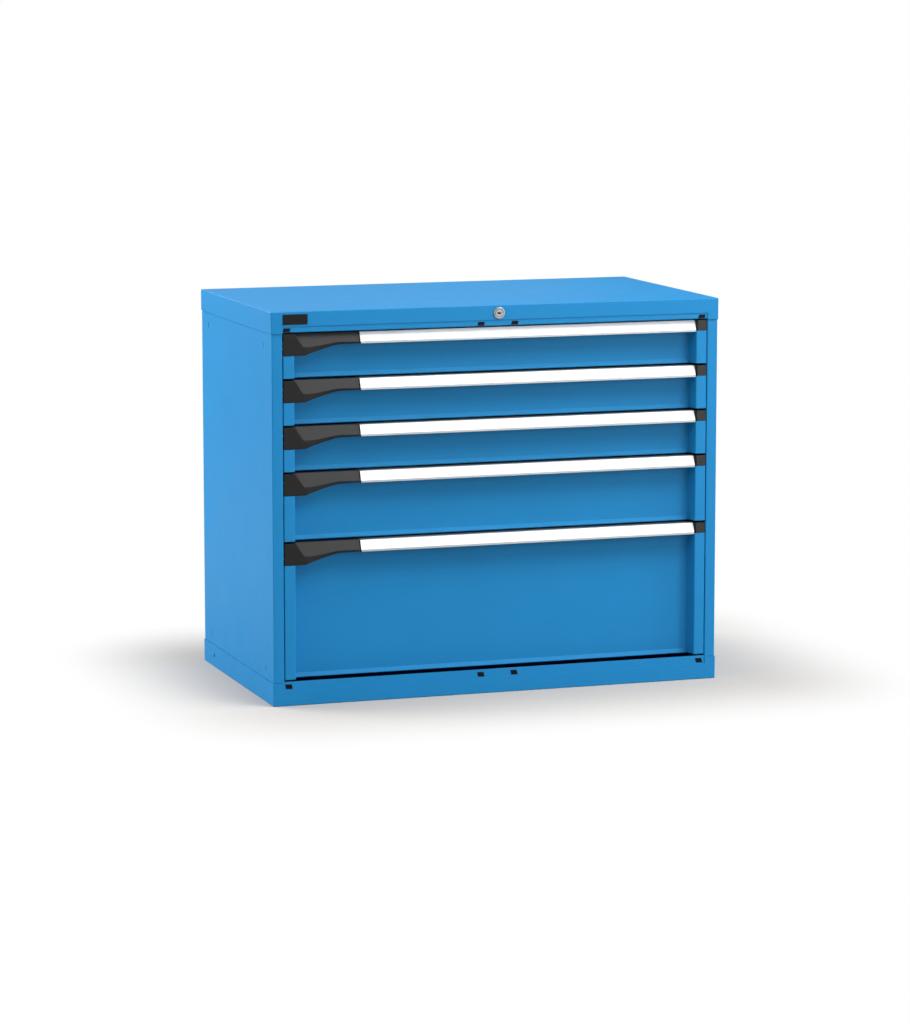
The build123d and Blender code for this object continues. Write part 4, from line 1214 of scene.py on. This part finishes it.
@dataclass
class EndCaps(GripFit):
    """Moulded caps that close the handle's ends: a tall one with the lever's bracket, and a short one."""

    depth: float = 22.0
    wall: float = 2.5
    edge: float = 0.7
    seam_gap: float = 0.3
    window_back: Point = (3.0, 23.0)
    window_drop: Point = (34.0, 16.0)
    panel_drop: float = 1.0
    bracket_start: float = 51.0
    ear: float = 2.6
    pivot_hole: float = 2.6
    pivot_wall: float = 3.5
    seat: float = 4.0
    face_width: float = 21.2
    shoulder_setback: float = 6.0

    def build(self, drawer: str) -> None:
        """Makes both caps of one drawer.

        Args:
            drawer: The drawer's body.
        """
        left, right = node_box("top_cover")
        self.build_left(drawer, left.x)
        self.build_right(drawer, right.x)

    def hollow_face(self, drawer: str, side: float) -> Shape:
        """Makes the left cap's hollow face, with a window in it for the lever's arm.

        Args:
            drawer: The drawer's body.
            side: The X that insets are measured from.

        Returns:
            The face.
        """
        low, high = node_box(f"{drawer}_left_cap")
        front, top = low.y, high.z
        bottom = top - self.foot[1]
        seams = [side + inset - self.seam_gap for inset in (self.start, self.bend[0], self.foot[0])]
        knee = top - self.bend[1]
        outline = [(low.x, top), (seams[0], top), (seams[1], knee), (seams[2], bottom), (low.x, bottom)]
        cap = Shape().prism(outline, Axis.Y, front, front + self.depth).soften(self.edge, 3)
        left, upper, lower = low.x + self.wall, top - self.wall, bottom + self.wall
        ends = [seam - self.wall for seam in seams]
        inner = [(left, upper), (ends[0], upper), (ends[1], knee), (ends[2], lower), (left, lower)]
        cap.cut(Shape().prism(inner, Axis.Y, front + self.wall, front + self.depth + BEYOND))
        (near, far), (deep, shallow) = self.window_back, self.window_drop
        window_high = (side + self.arm_end, front + far, top - shallow)
        return cap.cut(Shape().block((low.x - BEYOND, front + near, top - deep), window_high))

    def build_left(self, drawer: str, side: float) -> None:
        """Makes the left cap: a hollow face with the bar that the lever turns on behind it.

        Args:
            drawer: The drawer's body.
            side: The X that insets are measured from.
        """
        low, high = node_box(f"{drawer}_left_cap")
        front, back, top = low.y, high.y, high.z
        cap = self.hollow_face(drawer, side)
        upper, lower = top - self.panel_drop, top - self.boss
        start, ear_right = side + self.bracket_start, side + self.ear_right
        ear_left = ear_right - self.ear
        bar = Shape().block((start, front + self.depth, lower), (ear_left, back, upper), self.edge / 2)
        bridge_high = (side + self.start - self.wall, back, upper)
        bridge = Shape().block((start - self.wall, front + self.wall, lower), bridge_high)
        at = partial(self.handle.point, node_box(f"{drawer}_handle")[0].y, top)
        plate = [
            at(self.panel_drop, self.setback),
            at(self.handle.face, self.setback),
            at(self.handle.face, self.setback + self.grip_wall),
            (front + self.pivot_back - self.pivot_wall, lower),
            (back, lower),
            (back, upper),
        ]
        ear = Shape().prism(plate, Axis.X, ear_left, ear_right).soften(self.edge / 3)
        bracket = bar.join(bridge)
        pivot = (front + self.pivot_back, top - self.pivot_drop)
        for part in (bracket, ear):
            part.cut(Shape().rod(Axis.X, self.pivot_hole, side, ear_right + BEYOND, pivot, steps=24))
        # The end plate wears the blackest plastic so that it reads as the dark gap between the grip and the
        # label: a real plate, with painted shade.
        ear.finish(f"{drawer}_handle_end_painted_shadow", PLUG_PLASTIC, drawer)
        cap.join(bracket).finish(f"{drawer}_cap_left", SHADED_CAP_NYLON, drawer, f"{drawer}_left_cap")

    def build_right(self, drawer: str, side: float) -> None:
        """Makes the right cap: a hollow face with a foot on the panel.

        Args:
            drawer: The drawer's body.
            side: The X that insets are measured from, on the right.
        """
        low, high = node_box(f"{drawer}_right_cap")
        front, bottom, top = low.y, low.z, high.z
        left, back = high.x - self.face_width, front + self.depth
        cap = Shape().block((left, front, bottom), (high.x, back, top), self.edge)
        hollow = Shape().block(
            (left + self.wall, front + self.wall, bottom + self.wall),
            (high.x - self.wall, back + BEYOND, top - self.wall),
        )
        shoulder_low = (low.x, front + self.shoulder_setback, bottom)
        shoulder = Shape().block(shoulder_low, (left + self.wall / 2, back, top)).soften(self.edge / 3)
        foot = Shape().block(
            (low.x, back - self.wall, bottom + self.wall),
            (side - self.bracket_start + self.seat, high.y, top - self.wall),
            self.edge / 2,
        )
        cap.cut(hollow).join(shoulder).join(foot)
        # Painted light: the right cap wears the grip's lighter nylon rather than the left caps' darker copy,
        # so that it looks more brightly lit.
        cap.finish(f"{drawer}_cap_right", GRIP_NYLON, drawer, f"{drawer}_right_cap")


@dataclass
class GripLever(GripFit):
    """Moulded grip lever: a leaning face that narrows in a sweep, a band under it, and its pivot."""

    band_lean: float = 7.0
    boss_back: float = 20.0
    step: float = 5.0
    edge: float = 0.6
    end: float = 197.0
    slant_end: float = 118.5
    face_depths: tuple[Point, ...] = (
        (53.0, 28.5), (78.6, 28.9), (90.0, 28.5), (104.0, 27.1), (118.5, 24.8), (147.0, 20.7), (161.0, 20.5),
        (197.0, 21.2),
    )
    depths: tuple[Point, ...] = (
        (53.0, 47.0), (78.6, 46.9), (90.0, 43.4), (104.0, 38.6), (118.5, 34.4), (147.0, 27.4), (161.0, 26.1),
        (197.0, 25.7),
    )
    pivot: float = 2.5
    pivot_start: float = 50.0
    arm_start: float = 26.25
    arm_back: Point = (11.0, 15.0)
    arm_drop: Point = (32.0, 20.0)

    def slant(self, drop: float) -> float:
        """How far right of its top the seam with the cap lies, so far below the top."""
        if drop <= self.bend[1]:
            return (self.bend[0] - self.start) * drop / self.bend[1]
        below = (drop - self.bend[1]) / (self.foot[1] - self.bend[1])
        return self.bend[0] - self.start + (self.foot[0] - self.bend[0]) * below

    def section(self, inset: float, front: float) -> list[Vector]:
        """The lever's section at one place along it.

        Args:
            inset: The place of its top, measured from the cabinet's side.
            front: The Y of the drawer's front plane.

        Returns:
            Its corners, each an inset, a Y and a height below the top.
        """
        share = max(0.0, 1 - (inset - self.start) / (self.slant_end - self.start))
        slope = self.handle.lean / self.handle.height
        top_y = front + self.setback + self.handle.lean
        face, whole = (
            smooth_through(curve, min(inset + self.slant(smooth_through(curve, inset)) * share, self.end))
            for curve in (self.face_depths, self.depths)
        )
        lip_y = top_y - slope * face
        corners = [
            (top_y, 0.0),
            (lip_y, face),
            (lip_y + self.band_lean, whole),
            (lip_y + self.band_lean + self.grip_wall, whole),
            (top_y - slope * self.boss + self.grip_wall, self.boss),
            (front + self.boss_back, self.boss),
            (front + self.boss_back, 0.0),
        ]
        return [Vector((inset + self.slant(drop) * share, y, -drop)) for y, drop in corners]

    def build(self, drawer: str) -> None:
        """Makes the lever of one drawer, with its pivot pins and the arm behind the cap.

        Args:
            drawer: The drawer's body.
        """
        cap_low, cap_high = node_box(f"{drawer}_left_cap")
        side, front, top = node_box("top_cover")[0].x, cap_low.y, cap_high.z
        lever = Shape()
        bm = lever.bm
        count = round((self.end - self.start) / self.step)
        loops = []
        for index in range(count + 1):
            inset = self.start + (self.end - self.start) * index / count
            corners = [bm.verts.new((side + p.x, p.y, top + p.z)) for p in self.section(inset, front)]
            loops.append([bm.edges.new((vert, corners[i - 1])) for i, vert in enumerate(corners)])
        for loop, following in zip(loops, loops[1:]):
            bmesh.ops.bridge_loops(bm, edges=loop + following)
        for loop in (loops[0], loops[-1]):
            bmesh.ops.contextual_create(bm, geom=loop)
        bmesh.ops.recalc_face_normals(bm, faces=bm.faces[:])
        lever.soften(self.edge, 3)
        pivot = (front + self.pivot_back, top - self.pivot_drop)
        pin_ends = (side + self.pivot_start, side + self.ear_right)
        pins = Shape().rod(Axis.X, self.pivot, *pin_ends, pivot, steps=24)
        bottom = top - self.arm_drop[0]
        arm_high = (side + self.arm_end, front + self.arm_back[1], top - self.arm_drop[1])
        arm_low = (side + self.arm_start, front + self.arm_back[0], bottom)
        root_low = (arm_high[0] - self.grip_wall, front + self.grip_wall, bottom)
        arm = Shape().block(arm_low, arm_high, self.edge).join(Shape().block(root_low, arm_high))
        lever.join(pins).join(arm)
        lever.finish(f"{drawer}_grip", GRIP_NYLON, f"{drawer}_grip", f"{drawer}_grip_lever")


@dataclass
class DrawerBox(SheetWork):
    """Open drawer box of folded sheet."""

    def build(self, drawer: str) -> None:
        """Makes the box of one drawer.

        Args:
            drawer: The drawer's body.
        """
        low, high = node_box(f"{drawer}_box")
        box = self.open_box(low, high, high.z)
        bmesh.ops.solidify(box.bm, geom=box.bm.faces[:], thickness=self.sheet)
        box.soften(self.raw_edge).finish(f"{drawer}_tray", GREY_COAT, drawer, f"{drawer}_box")


@dataclass
class Drawer:
    """One drawer: its box and folded front, the handle with its label, the caps and the grip lever."""

    number: int

    def build(self) -> None:
        """Makes the drawer's pieces and dresses its runners."""
        drawer = f"drawer_{self.number}"
        for part in (DrawerBox(), DrawerFront(), Handle(), EndCaps(), GripLever()):
            part.build(drawer)
        for node in (f"{drawer}_runners", f"{drawer}_middle_runners"):
            dress_node(node, RUNNER_ZINC)


@dataclass(frozen=True)
class Softbox:
    """A square studio light that hangs round the cabinet and faces it; its sizes are metres."""

    name: str
    bearing_deg: float
    rise_deg: float
    power: float
    distance: float = 4.0
    size: float = 2.0
    target: Place = (0.0, -0.2, 0.4)

    def build(self) -> None:
        """Hangs the light at its bearing, counted from the front to the right, turned to the cabinet."""
        lamp = bpy.data.lights.new(self.name, "AREA")
        lamp.shape = "SQUARE"
        lamp.size = self.size
        lamp.energy = self.power
        fixture = bpy.data.objects.new(self.name, lamp)
        bearing, rise = math.radians(self.bearing_deg), math.radians(self.rise_deg)
        level = math.cos(rise)
        away = Vector((level * math.sin(bearing), -level * math.cos(bearing), math.sin(rise)))
        fixture.location = Vector(self.target) + away * self.distance
        fixture.rotation_euler = (-away).to_track_quat("-Z", "Y").to_euler()
        bpy.context.scene.collection.objects.link(fixture)


@dataclass
class Studio:
    """White paper floor, a soft sky of light, softboxes, and the camera of the photograph."""

    focal_length_px: float = 3821.1
    sensor_mm: float = 36.0
    clip_end_m: float = 200.0
    eye_mm: Place = (-2724.0, -8031.0, 1630.0)
    yaw_deg: float = 18.713
    pitch_deg: float = 8.529
    floor_m: float = 60.0
    horizon_light: float = 0.15
    zenith_light: float = 0.67
    sky_edge: Point = (0.6, 0.7)
    boxes: tuple[Softbox, ...] = (
        Softbox("low_front_softbox", 30.0, 12.0, 48.0),
        Softbox("high_front_softbox", 30.0, 55.0, 66.0),
        Softbox("high_right_softbox", 55.0, 55.0, 75.0),
        Softbox("right_softbox", 80.0, 20.0, 67.0),
        Softbox("left_softbox", -75.0, 22.0, 38.0),
        Softbox("rear_left_softbox", -125.0, 22.0, 127.0),
        Softbox("low_rear_left_softbox", -150.0, 22.0, 30.0),
        Softbox("rear_softbox", 170.0, 30.0, 5.7),
    )

    def build_camera(self) -> None:
        """Sets up the camera at the photograph's place and angle."""
        lens = bpy.data.cameras.new("photograph_camera")
        lens.sensor_fit = "VERTICAL"
        lens.sensor_height = self.sensor_mm
        lens.lens = self.focal_length_px * self.sensor_mm / IMAGE_HEIGHT
        lens.clip_end = self.clip_end_m
        camera = bpy.data.objects.new("photograph_camera", lens)
        camera.location = Vector(self.eye_mm) * MM
        yaw, pitch = math.radians(self.yaw_deg), math.radians(self.pitch_deg)
        view = Vector((math.sin(yaw) * math.cos(pitch), math.cos(yaw) * math.cos(pitch), -math.sin(pitch)))
        camera.rotation_euler = view.to_track_quat("-Z", "Y").to_euler()
        bpy.context.scene.collection.objects.link(camera)
        bpy.context.scene.camera = camera

    def build_floor(self) -> None:
        """Lays the paper floor."""
        sheet = bmesh.new()
        bmesh.ops.create_grid(sheet, x_segments=1, y_segments=1, size=self.floor_m / 2)
        mesh = bpy.data.meshes.new("paper_floor")
        sheet.to_mesh(mesh)
        sheet.free()
        mesh.materials.append(PAPER.material())
        floor = bpy.data.objects.new("paper_floor", mesh)
        bpy.context.scene.collection.objects.link(floor)

    def build_sky(self) -> None:
        """Makes the surrounding light: brighter overhead, and plain white where the camera looks past."""
        world = bpy.data.worlds.new("studio")
        world.use_nodes = True
        bpy.context.scene.world = world
        tree = world.node_tree
        tree.nodes.clear()
        direction = add(tree, "ShaderNodeTexCoord").outputs["Generated"]
        height = add(tree, "ShaderNodeSeparateXYZ", {"Vector": direction}).outputs["Z"]
        levels = {"Value": height, **limits(self.sky_edge, (self.horizon_light, self.zenith_light))}
        strength = add(tree, "ShaderNodeMapRange", levels, interpolation_type="SMOOTHSTEP")
        lighting, backdrop = (
            add(tree, "ShaderNodeBackground", {"Color": linear("#ffffff"), "Strength": light})
            for light in (strength.outputs["Result"], 1.0)
        )
        seen = add(tree, "ShaderNodeLightPath").outputs["Is Camera Ray"]
        shares = {0: seen, 1: lighting.outputs["Background"], 2: backdrop.outputs["Background"]}
        both = add(tree, "ShaderNodeMixShader", shares)
        add(tree, "ShaderNodeOutputWorld", {"Surface": both.outputs["Shader"]})

    def build(self) -> None:
        """Sets up the floor, the light and the camera."""
        self.build_floor()
        self.build_sky()
        for box in self.boxes:
            box.build()
        self.build_camera()
        bpy.context.scene.view_settings.view_transform = "Standard"
        LOG.info("studio: floor, sky, %d softboxes and camera", len(self.boxes))


def main() -> None:
    """Builds the studio and the cabinet."""
    logging.basicConfig(level=logging.INFO, format="%(name)s: %(message)s")
    Studio().build()
    plugs = HolePlugs()
    Housing().build(plugs.holes())
    plugs.build()
    NamePlate().build()
    Lock().build()
    for number in range(1, 6):
        Drawer(number).build()


if __name__ == "__main__":
    main()
